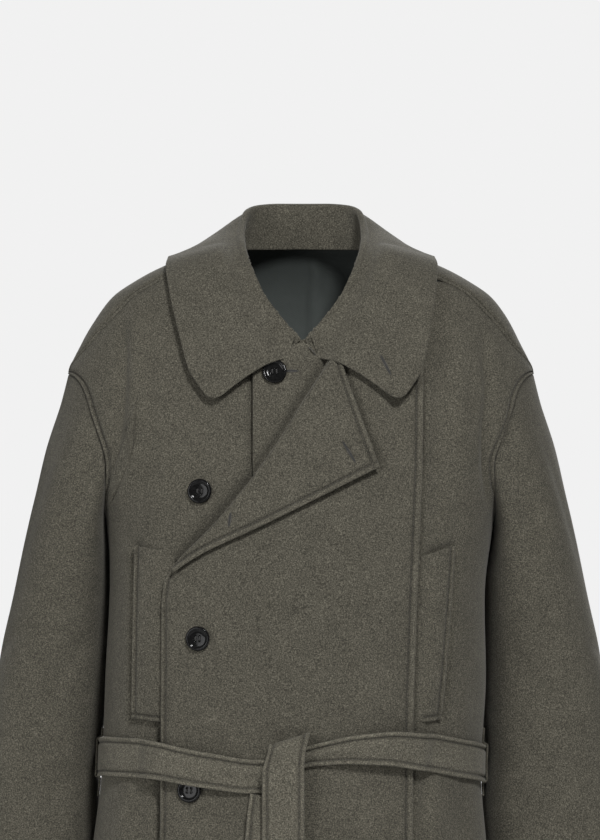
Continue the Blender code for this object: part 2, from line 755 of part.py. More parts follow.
def make_collar():
    """One folded collar: the stand rises from the neckline, rolls over and falls outward."""
    part = np.linspace(-1.0, 1.0, COLLAR_ROWS)
    row = read(COLLAR, COLLAR_COLUMNS, np.abs(part))
    sign = np.where(part < 0, -1.0, 1.0)
    base = on_body(neckline(sign * row["neck_angle"]), 0.0)
    roll = np.stack([COLLAR_MIDDLE + sign * row["roll_x"], row["roll_y"], row["roll_z"]], axis=-1)
    edge_x = np.where(part > 0, row["edge_left"], -row["edge_right"])
    edge = np.stack([COLLAR_MIDDLE / 2 + edge_x, row["edge_y"], row["edge_z"]], axis=-1)
    out = (edge - roll) * np.array([1.0, 1.0, 0.0])
    out = out / np.linalg.norm(out, axis=-1, keepdims=True)
    up = np.array([0.0, 0.0, 1.0])
    centre = roll - COLLAR_ROLL * up
    base = base - (WOOL + COLLAR_SEAM) * out + COLLAR_SEAM * up
    columns = [base, (base + centre - COLLAR_ROLL * out) / 2]
    for turn in np.radians(COLLAR_ROLL_TURNS):
        columns.append(centre + COLLAR_ROLL * (math.cos(turn) * out + math.sin(turn) * up))
    start = columns[-1]
    span = np.linalg.norm(edge - start, axis=-1, keepdims=True)
    lead = start + COLLAR_LEAD * (edge - start) + COLLAR_CROWN * span * (out + up)
    tail = edge - COLLAR_TAIL * (edge - start)
    front = ease((np.abs(part) - COLLAR_FRONT_START) / COLLAR_FRONT_EASE)
    clear_front = np.where(part > 0, COLLAR_CLEAR_LEFT, COLLAR_CLEAR_RIGHT)
    clear = COLLAR_CLEAR_BACK + (clear_front - COLLAR_CLEAR_BACK) * front
    for t in np.linspace(0.0, 1.0, COLLAR_FALL_STEPS + 1)[1:]:
        near_roll = (1 - t) ** 3 * start + 3 * t * (1 - t) ** 2 * lead
        near_edge = 3 * t * t * (1 - t) * tail + t ** 3 * edge
        point = near_roll + near_edge
        lift, direction = body_lift(point)
        need = clear * ease(t / COLLAR_FRONT_EASE + COLLAR_FRONT_EASE) - lift
        push = np.where(need > 0, need, 0.0) * ease(t / COLLAR_FRONT_EASE)
        columns.append(point + push[:, None] * direction)
    sheet = np.stack(columns, axis=1)
    for end, beside in ((0, 1), (-1, -2)):
        middle = (sheet[beside, -1] + sheet[end, -2]) / 2
        sheet[end, -1] = (1 - COLLAR_TIP_CUT) * sheet[end, -1] + COLLAR_TIP_CUT * middle
    normals = grid_normals(sheet)
    wall("collar", sheet, sheet + WOOL * normals, WOOL_LOOK)


def belt_lift(angle):
    """Clearance of the belt's inner face over the body surface, over every layer below it."""
    waist = np.array([smooth(0.0, BELT[:, 0], BELT[:, 1])])
    left = spots_seen(at_heights(LEFT_SEAM, waist))[0, 0]
    right = spots_seen(at_heights(WRAP_EDGE, waist))[0, 0]
    over_left = ease((left + BELT_LEFT_STEP[0] - angle) / BELT_LEFT_STEP[1])
    over_right = ease((angle - right + BELT_RIGHT_STEP[0]) / BELT_RIGHT_STEP[1])
    over = np.minimum(over_left, over_right) * WRAP_LIFT
    button = spots_seen(np.array([BUTTONS["button_waist"][:2]]))[0, 0]
    bump = BUTTON_THICK + BUTTON_CLEAR + BELT_BUTTON_CLEAR
    return BELT_CLEAR + over + bump * np.exp(-((angle - button) / BELT_BUTTON_WIDTH) ** 2)


def make_belt():
    """The belt's stretch round the waist, open at the knot."""
    angle = np.linspace(BELT_FIRST, BELT_LAST, BELT_STEPS)
    folded = (angle + 180.0) % 360.0 - 180.0
    row = read(BELT, BELT_COLUMNS, folded)
    across = np.linspace(-0.5, 0.5, BELT_ACROSS)
    height = row["height"][:, None] + row["width"][:, None] * across
    spots = np.stack([np.repeat(folded[:, None], BELT_ACROSS, axis=1), height], axis=-1)
    lift = belt_lift(spots[..., 0])
    wall("belt_waist", on_body(spots, lift + BELT_THICK), on_body(spots, lift), WOOL_LOOK)


def make_belt_end(name, table, thick):
    """A belt end: a band hung along the middle of its rows, with a width and a lean in each."""
    row = {column: table[:, number] for number, column in enumerate(END_COLUMNS)}
    spots = spots_seen(np.stack([row["aside"], row["height"]], axis=-1))
    middle = on_body(spots, WRAP_LIFT + row["over_wrap"])
    across = np.linspace(-0.5, 0.5, BELT_ACROSS)
    sheet = np.repeat(middle[:, None], BELT_ACROSS, axis=1)
    sheet[..., 0] += row["width"][:, None] * across
    sheet[..., 2] += row["lean"][:, None] * across
    wall(name, sheet, sheet - thick * grid_normals(sheet), WOOL_LOOK)


def make_loop(name, angle):
    """A belt loop on a side seam, bowed out over the belt."""
    heights = np.linspace(LOOP_LOW, LOOP_TOP, LOOP_ROWS)
    waist = read(BODY, BODY_COLUMNS, (LOOP_LOW + LOOP_TOP) / 2)
    half = math.degrees(LOOP_WIDTH / 2 / waist["half_width"])
    spots = np.stack(np.meshgrid(np.linspace(angle - half, angle + half, LOOP_ACROSS), heights), axis=-1)
    bow = ease((heights - LOOP_LOW) / LOOP_BEND) * ease((LOOP_TOP - heights) / LOOP_BEND)
    high = LOOP_THICK + LOOP_CLEAR + (BELT_CLEAR + BELT_THICK + LOOP_SLACK) * bow
    panel(name, spots, high[:, None], LOOP_THICK)


def make_button(name, x, height, lift):
    """A turned button with a raised rim, lying on its layer of cloth."""
    spot = spots_seen(np.array([(x, height)]))
    middle = on_body(spot, np.array([lift + BUTTON_CLEAR]))[0]
    out = body_normal(spot[:, 0], spot[:, 1])[0]
    side = np.cross(np.array([0.0, 0.0, 1.0]), out)
    side = side / np.linalg.norm(side)
    made = bmesh.new()
    points = [middle + side * BUTTON_RADIUS * r + out * BUTTON_THICK * h for r, h in BUTTON_PROFILE]
    corners = [made.verts.new(point * MM) for point in points]
    edges = [made.edges.new(pair) for pair in zip(corners, corners[1:])]
    turned = {"cent": middle * MM, "axis": out, "angle": 2 * math.pi, "steps": BUTTON_STEPS}
    bmesh.ops.spin(made, geom=corners + edges, use_merge=True, **turned)
    bmesh.ops.remove_doubles(made, verts=made.verts, dist=WELD)
    return finish(made, name, BUTTON_LOOK)


def build():
    """Clear the scene and make every piece."""
    for old in list(bpy.data.objects):
        bpy.data.objects.remove(old)
    make_back()
    make_side_left()
    make_front_right()
    make_placket()
    make_wrap()
    make_lapel()
    make_welt("welt_left", WELT_LEFT)
    make_welt("welt_right", WELT_RIGHT)
    make_sleeve("sleeve_left", 1)
    make_sleeve("sleeve_right", -1)
    make_collar()
    make_belt()
    make_belt_end("belt_knot", FRONT_END, FRONT_END_THICK)
    make_belt_end("belt_end", BEHIND_END, BELT_THICK)
    make_loop("belt_loop_left", LOOP_SIDE)
    make_loop("belt_loop_right", -LOOP_SIDE)
    for name, (x, height, lift) in BUTTONS.items():
        make_button(name, x, height, lift)


build()
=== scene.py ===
import math

import bpy
import numpy as np
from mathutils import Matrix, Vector
from mathutils.bvhtree import BVHTree


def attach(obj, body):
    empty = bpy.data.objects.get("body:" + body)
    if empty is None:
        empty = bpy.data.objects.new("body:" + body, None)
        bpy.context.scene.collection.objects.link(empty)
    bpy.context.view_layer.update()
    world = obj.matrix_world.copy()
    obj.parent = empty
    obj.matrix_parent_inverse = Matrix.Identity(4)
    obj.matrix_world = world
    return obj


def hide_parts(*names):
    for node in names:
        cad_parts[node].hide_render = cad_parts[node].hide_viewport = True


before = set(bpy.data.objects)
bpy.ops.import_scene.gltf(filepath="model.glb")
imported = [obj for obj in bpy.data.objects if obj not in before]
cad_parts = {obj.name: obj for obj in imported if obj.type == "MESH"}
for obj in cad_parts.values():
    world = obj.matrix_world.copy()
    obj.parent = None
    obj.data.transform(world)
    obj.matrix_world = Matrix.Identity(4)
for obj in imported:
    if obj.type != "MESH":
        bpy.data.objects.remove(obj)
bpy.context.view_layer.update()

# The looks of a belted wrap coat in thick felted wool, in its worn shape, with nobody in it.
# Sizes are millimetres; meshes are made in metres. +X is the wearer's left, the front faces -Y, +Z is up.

MM = 0.001
BODY_NAME = "root"

# Cloth
WOOL = 2.6
LINING = 1.0
LAYER = 0.6
LAP = 12.0

# Where the front is looked at from: places on the front are measured as seen from here
VIEW_DISTANCE = 5000.0
VIEW_HEIGHT = -184.0

# Heights
HEM = -1100.0
ARMPIT = -292.0
SHOULDER_TIP = -135.0

# Body sections, from the neck down to the hem
BODY_COLUMNS = ("height", "half_width", "front", "back", "middle", "squareness")
BODY = np.array([
    (12, 58, 52, 58, 2, 2.0),
    (4, 80, 64, 72, 2, 2.0),
    (-4, 108, 70, 82, 2, 2.05),
    (-17, 147, 77, 92, 2, 2.1),
    (-36, 183, 86, 103, 2, 2.15),
    (-50, 203, 92, 109, 2, 2.2),
    (-70, 219, 99, 115, 2, 2.25),
    (-100, 236, 110, 121, 1, 2.3),
    (-135, 251, 121, 127, 1, 2.35),
    (-170, 254, 129, 131, 1, 2.5),
    (-230, 234, 138, 136, 0, 2.7),
    (-292, 209, 145, 138, 0, 2.85),
    (-370, 202, 149, 136, -3, 2.9),
    (-470, 205, 147, 131, -5, 2.85),
    (-551, 204, 139, 121, -9, 2.75),
    (-640, 212, 147, 134, -11, 2.65),
    (-850, 234, 161, 159, -13, 2.45),
    (-1100, 262, 176, 182, -14, 2.2),
])

# Large folds of the body cloth: angle round the body from the centre front, wearer's left positive
FOLD_COLUMNS = ("angle", "top", "deepest", "low", "half_width", "depth")
FOLDS = np.array([
    (131, -150, -240, -380, 18, 8),
    (-129, -140, -250, -390, 18, 9),
    (66, -610, -1150, -1500, 30, 9),
    (103, -600, -1150, -1500, 34, 13),
    (148, -620, -1150, -1500, 36, 12),
    (176, -640, -1150, -1500, 30, 9),
    (-153, -600, -1150, -1500, 36, 13),
    (-112, -620, -1150, -1500, 34, 12),
    (-70, -600, -1150, -1500, 30, 9),
])

# Neckline: angle from the centre front and height
NECKLINE = np.array([
    (0, -108),
    (6, -100),
    (12, -80),
    (18, -57),
    (27, -27),
    (38, -15),
    (55, -5),
    (90, 3),
    (135, 6),
    (180, 7),
])

# Shoulder seam, set forward of the ridge, as seen from the front: outward and height
SHOULDER_SEAM = np.array([
    (79, -17),
    (121, -22),
    (150, -31),
    (170, -42),
    (186, -54),
    (200, -68),
    (216, -86),
    (232, -106),
])

# Armhole oval on the body
ARMHOLE_FRONT = 36.0
ARMHOLE_BACK = 33.0
ARMHOLE_TOP_BOW = 0.5
ARMHOLE_LOW_BOW = 1.2

# Sleeve sections: outer edge and inner edge as seen from the front, and depth
SLEEVE_COLUMNS = ("outer", "outer_height", "inner", "inner_height", "front", "back")
SLEEVE = np.array([
    (251, -135, 209, -292, -86, 90),
    (259, -166, 208.8, -301, -86, 94),
    (275, -215, 207, -316, -82, 100),
    (288, -270, 204.3, -342, -74, 107),
    (299, -317, 202.6, -370, -66, 112),
    (312, -378, 203, -412, -56, 115),
    (323, -425, 203.8, -448, -48, 116),
    (338, -500, 206.0, -510, -38, 115),
    (344.5, -551, 210.2, -553, -35, 111),
    (350, -600, 208.2, -602, -32, 107),
    (356, -724, 219.5, -724, -26, 100),
])
SLEEVE_SQUARENESS = 2.6
SLEEVE_CLEAR = 2.0
SLEEVE_SETTLE = 0.35
SLEEVE_SHIFT = 1.0

# Front edges and seams, as seen from the front: outward to the wearer's left and height
LEFT_SEAM = np.array([
    (116, HEM),
    (119, -760),
    (121, -637),
    (122, -514),
    (125, -401),
    (129, -300),
    (132, -233),
    (133, -131),
    (128, -70),
    (121, -22),
])
WRAP_EDGE = np.array([
    (-160, HEM),
    (-152, -760),
    (-149, -637),
    (-148, -525),
    (-147, -382),
])
WRAP_FOLD = np.array([
    (-144.5, -361),
    (-136, -343.5),
    (-123, -329),
    (-92, -297),
    (-52, -248),
    (-22, -205),
    (5, -162),
    (34, -118),
    (48, -98),
])
UNDERLAP = 55.0
UNDERLAP_TOP = -121.0
PLACKET = {"edge": -51.0, "inner": 62.0, "top": -111.0, "low": -372.0}
LAPEL_LOW_EDGE = np.array([
    (-136, -347),
    (-108, -329),
    (-53, -304),
    (20, -269),
    (85, -236),
])
LAPEL_TOP = (38.5, -112.0)
LAPEL_RISE = 6.0
SEAM_TOP_EASE = 40.0
PANEL_GRIP = 2.0

# Layer heights over the body surface, outer face
PLACKET_LIFT = WOOL + LAYER
WRAP_LIFT = 2 * (WOOL + LAYER) + 0.4
LAPEL_LIFT = WOOL + LAYER + 0.2
LAPPED_LIFT = WOOL + 0.5
WELT_LIFT = WOOL + 0.4

# Where the wrap comes down: below the neck, and in degrees beside the lapped seam
WRAP_NECK = -20.0
WRAP_NECK_EASE = 70.0
LAP_FLAT = 4.2
LAP_FALL = 6.0

# Pocket welts, four corners as seen: top inner, top outer, low outer, low inner
WELT_LEFT = np.array([(131, -332), (166, -320), (152, -507), (126, -511)])
WELT_RIGHT = np.array([(-136, -326), (-176, -320), (-180, -506), (-141, -511)])

# Collar: a row from the centre back (0) to the front end (1)
COLLAR_COLUMNS = (
    "part", "neck_angle", "roll_x", "roll_y", "roll_z", "edge_right", "edge_left", "edge_y", "edge_z",
)
COLLAR = np.array([
    (0.00, 180, 0, 72, 53, 0, 0, 117, -40),
    (0.12, 157, 26, 71, 53, 38, 38, 117, -39),
    (0.25, 133, 49, 62, 51, 84, 85, 108, -36),
    (0.36, 113, 61, 42, 45, 122, 124, 82, -26),
    (0.46, 96, 65.5, 14, 30, 141, 142, 40, -12),
    (0.54, 79, 66.5, -14, 17, 144, 144, -4, -8),
    (0.62, 60, 65, -42, 5, 144, 144, -36, -19),
    (0.72, 28, 58, -74, -17, 139, 141, -80, -52),
    (0.82, 17, 44, -95, -47, 130, 135, -102, -90),
    (0.92, 8, 20, -111, -79, 119, 127, -122, -130),
    (1.00, 2.4, 5.6, -117, -95, 94, 103, -132, -168),
])
COLLAR_MIDDLE = 3.0
COLLAR_ROLL = 4.5
COLLAR_SEAM = 0.8
COLLAR_CLEAR_RIGHT = 12.0
COLLAR_CLEAR_LEFT = 15.5
COLLAR_CLEAR_BACK = 6.0
COLLAR_FRONT_START = 0.55
COLLAR_FRONT_EASE = 0.25
COLLAR_LEAD = 0.33
COLLAR_CROWN = 0.1
COLLAR_TAIL = 0.35

# Belt: rows round the waist as angle from the centre front, height of its middle and width
BELT_COLUMNS = ("angle", "height", "width")
BELT = np.array([
    (-180, -552, 41),
    (-120, -551, 41),
    (-88, -548, 42),
    (-62, -542, 42),
    (-42, -541, 42),
    (-24, -551, 40),
    (-11, -558, 37),
    (-2, -556, 34),
    (3, -538, 23),
    (9, -533, 26),
    (18, -528, 32),
    (26, -527, 37),
    (38, -533, 41),
    (56, -544, 41),
    (88, -554, 41),
    (120, -553, 41),
    (180, -552, 41),
])
BELT_THICK = 4.0
BELT_CLEAR = 0.9
BELT_FIRST = -1.0
BELT_LAST = 353.5
BELT_LEFT_STEP = (6.0, 5.0)
BELT_RIGHT_STEP = (8.0, 6.0)
BELT_BUTTON_WIDTH = 11.0
BELT_BUTTON_CLEAR = 2.2

# Belt ends at the half knot, as seen, with their height over the wrap, width and lean across the width
END_COLUMNS = ("aside", "height", "over_wrap", "width", "lean")
FRONT_END = np.array([
    (-14, -541, 4.4, 36, 8),
    (-14, -534, 5.4, 40, 10),
    (-11.5, -529.5, 9.2, 42, 12),
    (-11, -528, 13.2, 43, 14),
    (-12.5, -531, 16.6, 43, 15),
    (-16, -544, 18.2, 43, 11),
    (-18, -562, 18.2, 44, 5),
    (-18, -585, 17.4, 44, 1),
    (-18, -640, 14.5, 44, 0),
    (-20, -720, 12.5, 44, 0),
    (-23, -810, 12.0, 44, 0),
    (-26, -905, 12.0, 44, 0),
])
BEHIND_END = np.array([
    (-34, -590.8, 4.6, 38, -6),
    (-36, -612, 5.6, 40, -4),
    (-38, -640, 5.2, 41, -2),
    (-44, -720, 4.5, 42, 0),
    (-50, -800, 4.5, 42, 0),
    (-55, -880, 4.5, 42, 0),
])
FRONT_END_THICK = 3.6

# Belt loops on the side seams
LOOP_WIDTH = 9.0
LOOP_THICK = 2.2
LOOP_BEND = 1.5
LOOP_EARLY = -1.0
LOOP_TOP = -516.0
LOOP_LOW = -590.0
LOOP_CLEAR = 0.5
LOOP_SLACK = 0.2
LOOP_SIDE = 90.0

# Buttons: size, and the centre of each as seen
BUTTON_RADIUS = 13.0
BUTTON_THICK = 4.2
BUTTON_CLEAR = 0.3
BUTTONS = {
    "button_neck": (-27.5, -132.0),
    "button_chest": (-108.0, -261.0),
    "button_wrap": (-110.0, -420.0),
    "button_waist": (-119.0, -584.0),
}

# How finely the cloth is followed before it is laid out, and the step of the finished cloth
SIDE_ROWS = np.linspace(HEM, ARMPIT, 190)
ARMHOLE_STEPS = 60
SHOULDER_STEPS = 48
INNER_SHOULDER_STEPS = 16
BACK_COLUMNS = 240
WRAP_COLUMNS = 110
NECK_STEPS = 50
UNDERLAP_STEPS = 12
FINE_ROWS = 130
FINE_COLUMNS = 70
SLEEVE_ROUND = 150
COLLAR_ROWS = 420
COLLAR_STAND_STEPS = 10
COLLAR_ROLL_STEPS = 12
COLLAR_FALL_STEPS = 60
BELT_STEPS = 620
BELT_ACROSS = 25
WIDE_STEP = 6.0
CLOTH_STEP = 4.6
CLOSE_STEP = 3.0
LOOP_STEP = 1.2
EDGE_SHARES = (0.0, 0.134, 0.5, 1.0)
END_ROOM = 0.45
BELT_END_ROWS = 390
STITCH_BESIDE = (-2.2, -1.1, 0.0, 1.1, 2.2)

# How finely the surface directions are measured, in degrees and millimetres, and a first guess of depth
NORMAL_TURN = 0.2
NORMAL_RISE = 0.5
FIRST_DEPTH = -130.0
DEPTH_ROUNDS = 6
LEAST_LENGTH = 1e-9

# Sewing: how far each stitch line lies from its edge, and how deep it pulls the cloth in
LAPEL_STITCH = 6.5
WRAP_STITCH = 5.5
LAPPED_STITCH = 7.5
LAPPED_STITCH_TOP = -40.0
WELT_STITCH = 5.0
WELT_SUNK = -1.6
WELT_PROUD = 1.6
WELT_RISE_SHARE = 0.5
BELT_STITCH = 5.5
ARMHOLE_STITCH = 6.0
ARMHOLE_STITCH_LOW = ARMPIT + 30.0
STITCH_DENT = 1.9
STITCH_DENT_WIDTH = 1.5
STITCH_PUFF = 0.9
STITCH_PUFF_AWAY = 3.2
# How far the painted highlight on the rim beside a stitch line fades, and the width of the painted shade
# along seams
RIM_HIGHLIGHT_EASE = 2.0
SEAM_SHADE_WIDTH = 1.8
STITCH_LENGTH = 2.5
STITCH_PITCH = 3.3
STITCH_RADIUS = 0.3
STITCH_SINK = 0.12
STITCH_SIDES = 6
STITCH_RINGS = 5
STITCH_SIZES = (0.86, 1.08)
STITCH_SEED = 7
SHORTEST_LINE = 3

# Turn of the lapel, round collar points, and how the collar ends and its seam drop
TURN_RADIUS = 3.0
TURN_STEPS = 12
TURN_EASE = 26.0
TURN_START = -346.0
COLLAR_TIP_ROUND = 14.0
COLLAR_TOUCH = 2.0
COLLAR_END_DROP = 17.0
COLLAR_END_SHARES = (0.9, 0.05, 0.95)
COLLAR_DROP = 5.5
COLLAR_DROP_END = (0.3, 0.25)

# Soft creases, as straight runs with a rounded section: places across and up, half width and depth.
# Front places are as seen. Back places are measured to the wearer's left, side places backwards.
CREASE_COLUMNS = ("across_start", "up_start", "across_end", "up_end", "half_width", "depth")
FRONT_CREASES = np.array([
    (-191, -92, -194, -190, 6, -6.0),
    (-194, -185, -202, -262, 5.5, -7.0),
    (-201, -334, -178, -322, 5, 1.2),
    (-178, -58, -178, -175, 11, 3.0),
    (-162, -70, -163, -200, 9, -3.0),
    (-150, -215, -186, -300, 10, -1.8),
    (-120, -170, -150, -290, 13, 1.6),
    (148, -66, 149, -330, 10, -3.2),
    (176, -72, 177, -268, 11, 3.4),
    (202, -170, 202, -262, 5.5, -7.0),
    (198, -100, 203, -180, 6, -5.0),
    (232, -178, 218, -214, 6, -4.0),
    (222, -170, 210, -215, 7, 3.0),
    (186, -240, 160, -330, 12, -1.6),
    (-226, -236, -246, -330, 9, -2.6),
    (-262, -300, -238, -392, 12, 2.2),
    (-232, -420, -270, -480, 11, -2.4),
    (-300, -500, -250, -560, 13, 2.0),
    (-240, -560, -292, -610, 12, -2.2),
    (238, -250, 258, -340, 9, -2.6),
    (268, -300, 244, -400, 12, 2.2),
    (226, -430, 272, -486, 11, -2.4),
    (300, -520, 250, -572, 13, 2.0),
    (236, -590, 288, -632, 12, -2.0),
    (-60, -360, -96, -520, 22, -1.7),
    (0, -330, 18, -505, 26, 1.5),
    (64, -360, 56, -520, 18, -1.9),
    (98, -380, 92, -522, 14, 1.4),
    (-126, -455, -122, -528, 9, -1.5),
    (-100, -474, -97, -540, 10, 1.3),
    (-72, -500, -66, -546, 8, -1.5),
    (40, -478, 34, -528, 8, -1.6),
    (72, -462, 70, -524, 9, 1.5),
    (112, -470, 110, -528, 8, -1.7),
    (150, -480, 146, -530, 9, -1.9),
    (176, -470, 178, -532, 8, 1.7),
    (-168, -478, -166, -530, 8, -1.8),
    (130, -566, 128, -760, 7, -6.0),
    (146, -570, 148, -780, 12, 3.6),
    (176, -578, 182, -800, 11, -3.2),
    (96, -580, 92, -700, 12, 1.8),
    (60, -584, 54, -740, 14, -2.2),
    (30, -586, 26, -690, 11, 1.7),
    (-80, -592, -88, -720, 13, -2.2),
    (-112, -600, -122, -760, 12, 1.8),
    (-168, -575, -176, -740, 10, -2.6),
    (-190, -580, -200, -760, 10, 2.2),
])
BACK_CREASES = np.array([
    (-186, -120, -168, -300, 10, -4.0),
    (184, -130, 170, -310, 10, -3.6),
    (-150, -90, -120, -250, 14, 2.4),
    (146, -84, 122, -236, 14, 2.2),
    (-196, -260, -196, -420, 9, -3.0),
    (194, -250, 196, -430, 9, -3.0),
    (-60, -110, -20, -190, 20, -1.5),
    (70, -120, 30, -200, 18, -1.4),
    (-120, -380, -96, -522, 15, -2.6),
    (-62, -360, -56, -524, 17, 2.0),
    (-18, -400, -22, -526, 12, -2.3),
    (26, -390, 30, -520, 16, 1.9),
    (74, -372, 70, -524, 14, -2.6),
    (126, -396, 110, -524, 14, 2.0),
    (152, -420, 144, -526, 10, -2.2),
    (-156, -430, -148, -526, 10, 1.9),
    (-128, -572, -136, -760, 13, -3.0),
    (-84, -604, -96, -720, 14, 2.4),
    (-40, -576, -44, -800, 13, -2.6),
    (4, -602, 6, -690, 15, 2.1),
    (52, -574, 60, -780, 13, -2.8),
    (100, -606, 112, -740, 14, 2.3),
    (150, -572, 164, -800, 12, -2.6),
    (-230, -250, -246, -330, 10, -2.4),
    (-270, -330, -236, -420, 13, 2.3),
    (-226, -440, -280, -492, 12, -2.8),
    (-310, -500, -256, -556, 13, 2.4),
    (-240, -570, -300, -616, 12, -2.3),
    (-330, -620, -280, -690, 13, 1.8),
    (236, -246, 252, -336, 10, -2.4),
    (274, -340, 240, -424, 13, 2.3),
    (228, -446, 284, -500, 12, -2.8),
    (312, -512, 258, -566, 13, 2.4),
    (244, -584, 304, -628, 12, -2.3),
    (334, -630, 286, -700, 13, 1.8),
])
SIDE_CREASES = np.array([
    (-50, -210, -20, -330, 13, -2.2),
    (40, -230, 70, -350, 14, -2.4),
    (-60, -400, 10, -440, 11, -2.6),
    (90, -430, 20, -462, 12, -2.9),
    (-40, -470, 40, -500, 12, 2.1),
    (100, -510, 30, -540, 11, -2.4),
    (-30, -560, 50, -600, 13, 2.0),
    (90, -640, 30, -680, 13, -1.8),
    (-60, -640, -62, -900, 16, -3.0),
    (30, -620, 40, -860, 17, 2.6),
    (90, -620, 104, -880, 15, -2.8),
])
CREASE_TAPER = 0.35
CREASE_WANDER = 5.0
CREASE_WAVE = 46.0
CREASE_LONG = 200.0
FACING_START = 0.15
FACING_EASE = 0.5
SIDE_REACH = 225.0
SIDE_EASE = 40.0

# How the cloth dips beside an edge that lies over it: half width and depth
DIP_COLUMNS = ("half_width", "depth")
WRAP_DIP = (5.0, 13.0)
FOLD_DIP = (7.0, 9.0)
UNDER_FOLD_DIP = (7.5, 10.5)
PLACKET_DIP = (4.5, 6.0)
WELT_DIP = (3.4, 5.5)
SEAM_DIP = (2.8, 4.4)
LAPEL_DIP = (5.0, 5.0)
LAPEL_LOW_DIP = (8.0, 2.0)
COLLAR_DIP = (8.0, 5.0)

# The edges that lie over each piece, as seen, with the dip beside each.
# The collar's edge counts from the shoulder forward.
COLLAR_FORE = 4
WRAP_LINE = np.concatenate([WRAP_EDGE, WRAP_FOLD])
PLACKET_LINE = np.array([(PLACKET["edge"], PLACKET["low"]), (PLACKET["edge"], PLACKET["top"])])
LAPEL_LINE = np.array([LAPEL_TOP, LAPEL_LOW_EDGE[-1]])
COLLAR_LINE = COLLAR[COLLAR_FORE:][:, [COLLAR_COLUMNS.index("edge_left"), COLLAR_COLUMNS.index("edge_z")]]
COLLAR_LINE = COLLAR_LINE + np.array([COLLAR_MIDDLE / 2, 0.0])
LAPEL_DIPS = [(LAPEL_LINE, LAPEL_DIP), (LAPEL_LOW_EDGE, LAPEL_LOW_DIP)]
OVERLAID = {
    "front_right": LAPEL_DIPS + [
        (WRAP_LINE, WRAP_DIP),
        (WRAP_LINE, UNDER_FOLD_DIP),
        (PLACKET_LINE, PLACKET_DIP),
        (WELT_RIGHT[1:3], WELT_DIP),
    ],
    "inner_placket": LAPEL_DIPS + [(WRAP_LINE, FOLD_DIP)],
    "front_left": LAPEL_DIPS + [(COLLAR_LINE, COLLAR_DIP)],
    "side_left": [(LEFT_SEAM, SEAM_DIP), (WELT_LEFT[:3], WELT_DIP), (COLLAR_LINE, COLLAR_DIP)],
}

# Belt: where the half on the wearer's left stands off the coat, and small pinches beside the knot
BELT_STAND_OFF = 6.0
BELT_STAND_ANGLES = (5.0, 22.0, 48.0)
PINCH_COLUMNS = ("angle", "half_angle", "across", "half_across", "depth")
BELT_PINCHES = np.array([
    (5, 9, -0.22, 0.13, -1.6),
    (6, 11, 0.2, 0.12, -1.5),
    (12, 10, 0.02, 0.1, 1.0),
    (-6, 8, 0.25, 0.14, -1.5),
    (-9, 12, -0.12, 0.12, -1.3),
    (-16, 9, 0.1, 0.12, 0.9),
])

# Buttonholes as seen: start, end and the piece each is worked in
BUTTONHOLES = {
    "buttonhole_collar": ((87, -114), (98, -135), "collar"),
    "buttonhole_lapel_tip": ((46, -207), (60, -230), "lapel"),
    "buttonhole_lapel_low": ((-75, -284), (-77, -299), "lapel"),
    "buttonhole_neck": ((-17, -131), (-2, -131), "inner_placket"),
    "buttonhole_waist": ((-107, -582), (-96, -581), "front_left"),
}
BUTTONHOLE_RIM = 0.75
BUTTONHOLE_HALF_WIDTH = 1.25
BUTTONHOLE_STEPS = 72
BUTTONHOLE_ROUND = 10
BUTTONHOLE_BEAD = 0.22
BUTTONHOLE_BEADS = 24
BUTTONHOLE_SQUARE = 0.6
# Height over the cloth of the dark sheet of painted shade in each buttonhole opening
PAINTED_SLIT_RISE = 0.25

# Buttons: section from the centre out, and the four thread holes
BUTTON_SECTION = np.array([
    (0.0, 2.5), (0.2, 2.5), (0.42, 2.55), (0.6, 2.75), (0.7, 3.2), (0.78, 3.9), (0.84, 4.15),
    (0.9, 4.05), (0.96, 3.5), (1.0, 2.5), (0.985, 1.5), (0.93, 0.7), (0.84, 0.2), (0.72, 0.0),
    (0.4, 0.0), (0.0, 0.0),
])
BUTTON_DISH_ROW = 3
BUTTON_INNER_RINGS = 46
BUTTON_RINGS = 54
BUTTON_ROUND = 72
SEAT_RAYS = 8
HOLE_PLACE = 2.3
HOLE_RADIUS = 1.15
HOLE_DEPTH = 1.7
HOLE_SOFT = 0.35
HOLE_EDGE = 0.5
THREAD_RADIUS = 0.42
THREAD_RISE = 0.5
THREAD_STEPS = 17
THREAD_ROUND = 8
NOT_ALONG_THREAD = (0.31, -0.52, 0.8)

# Top of the placket between the collar ends
PLACKET_NECK = 8.0
PLACKET_NECK_WIDTH = 22.0
PLACKET_NECK_RISE = 14.0

# Lining: a loose pleat down the centre back
PLEAT_PLACE = 13.0
PLEAT_WIDTH = 5.0
PLEAT_DEPTH = 3.0
PLEAT_LIP = 4.0
PLEAT_FADE = 40.0
LINING_MARGIN = 0.1

# Thread eye beside the collar ends, as seen
EYE_START = (10.0, -106.0)
EYE_END = (17.0, -114.0)
EYE_RISE = 3.2
EYE_RADIUS = 0.7

# Which piece carries each button
BUTTON_ON = {
    "button_neck": "inner_placket",
    "button_chest": "front_right",
    "button_wrap": "front_left",
    "button_waist": "front_left",
}

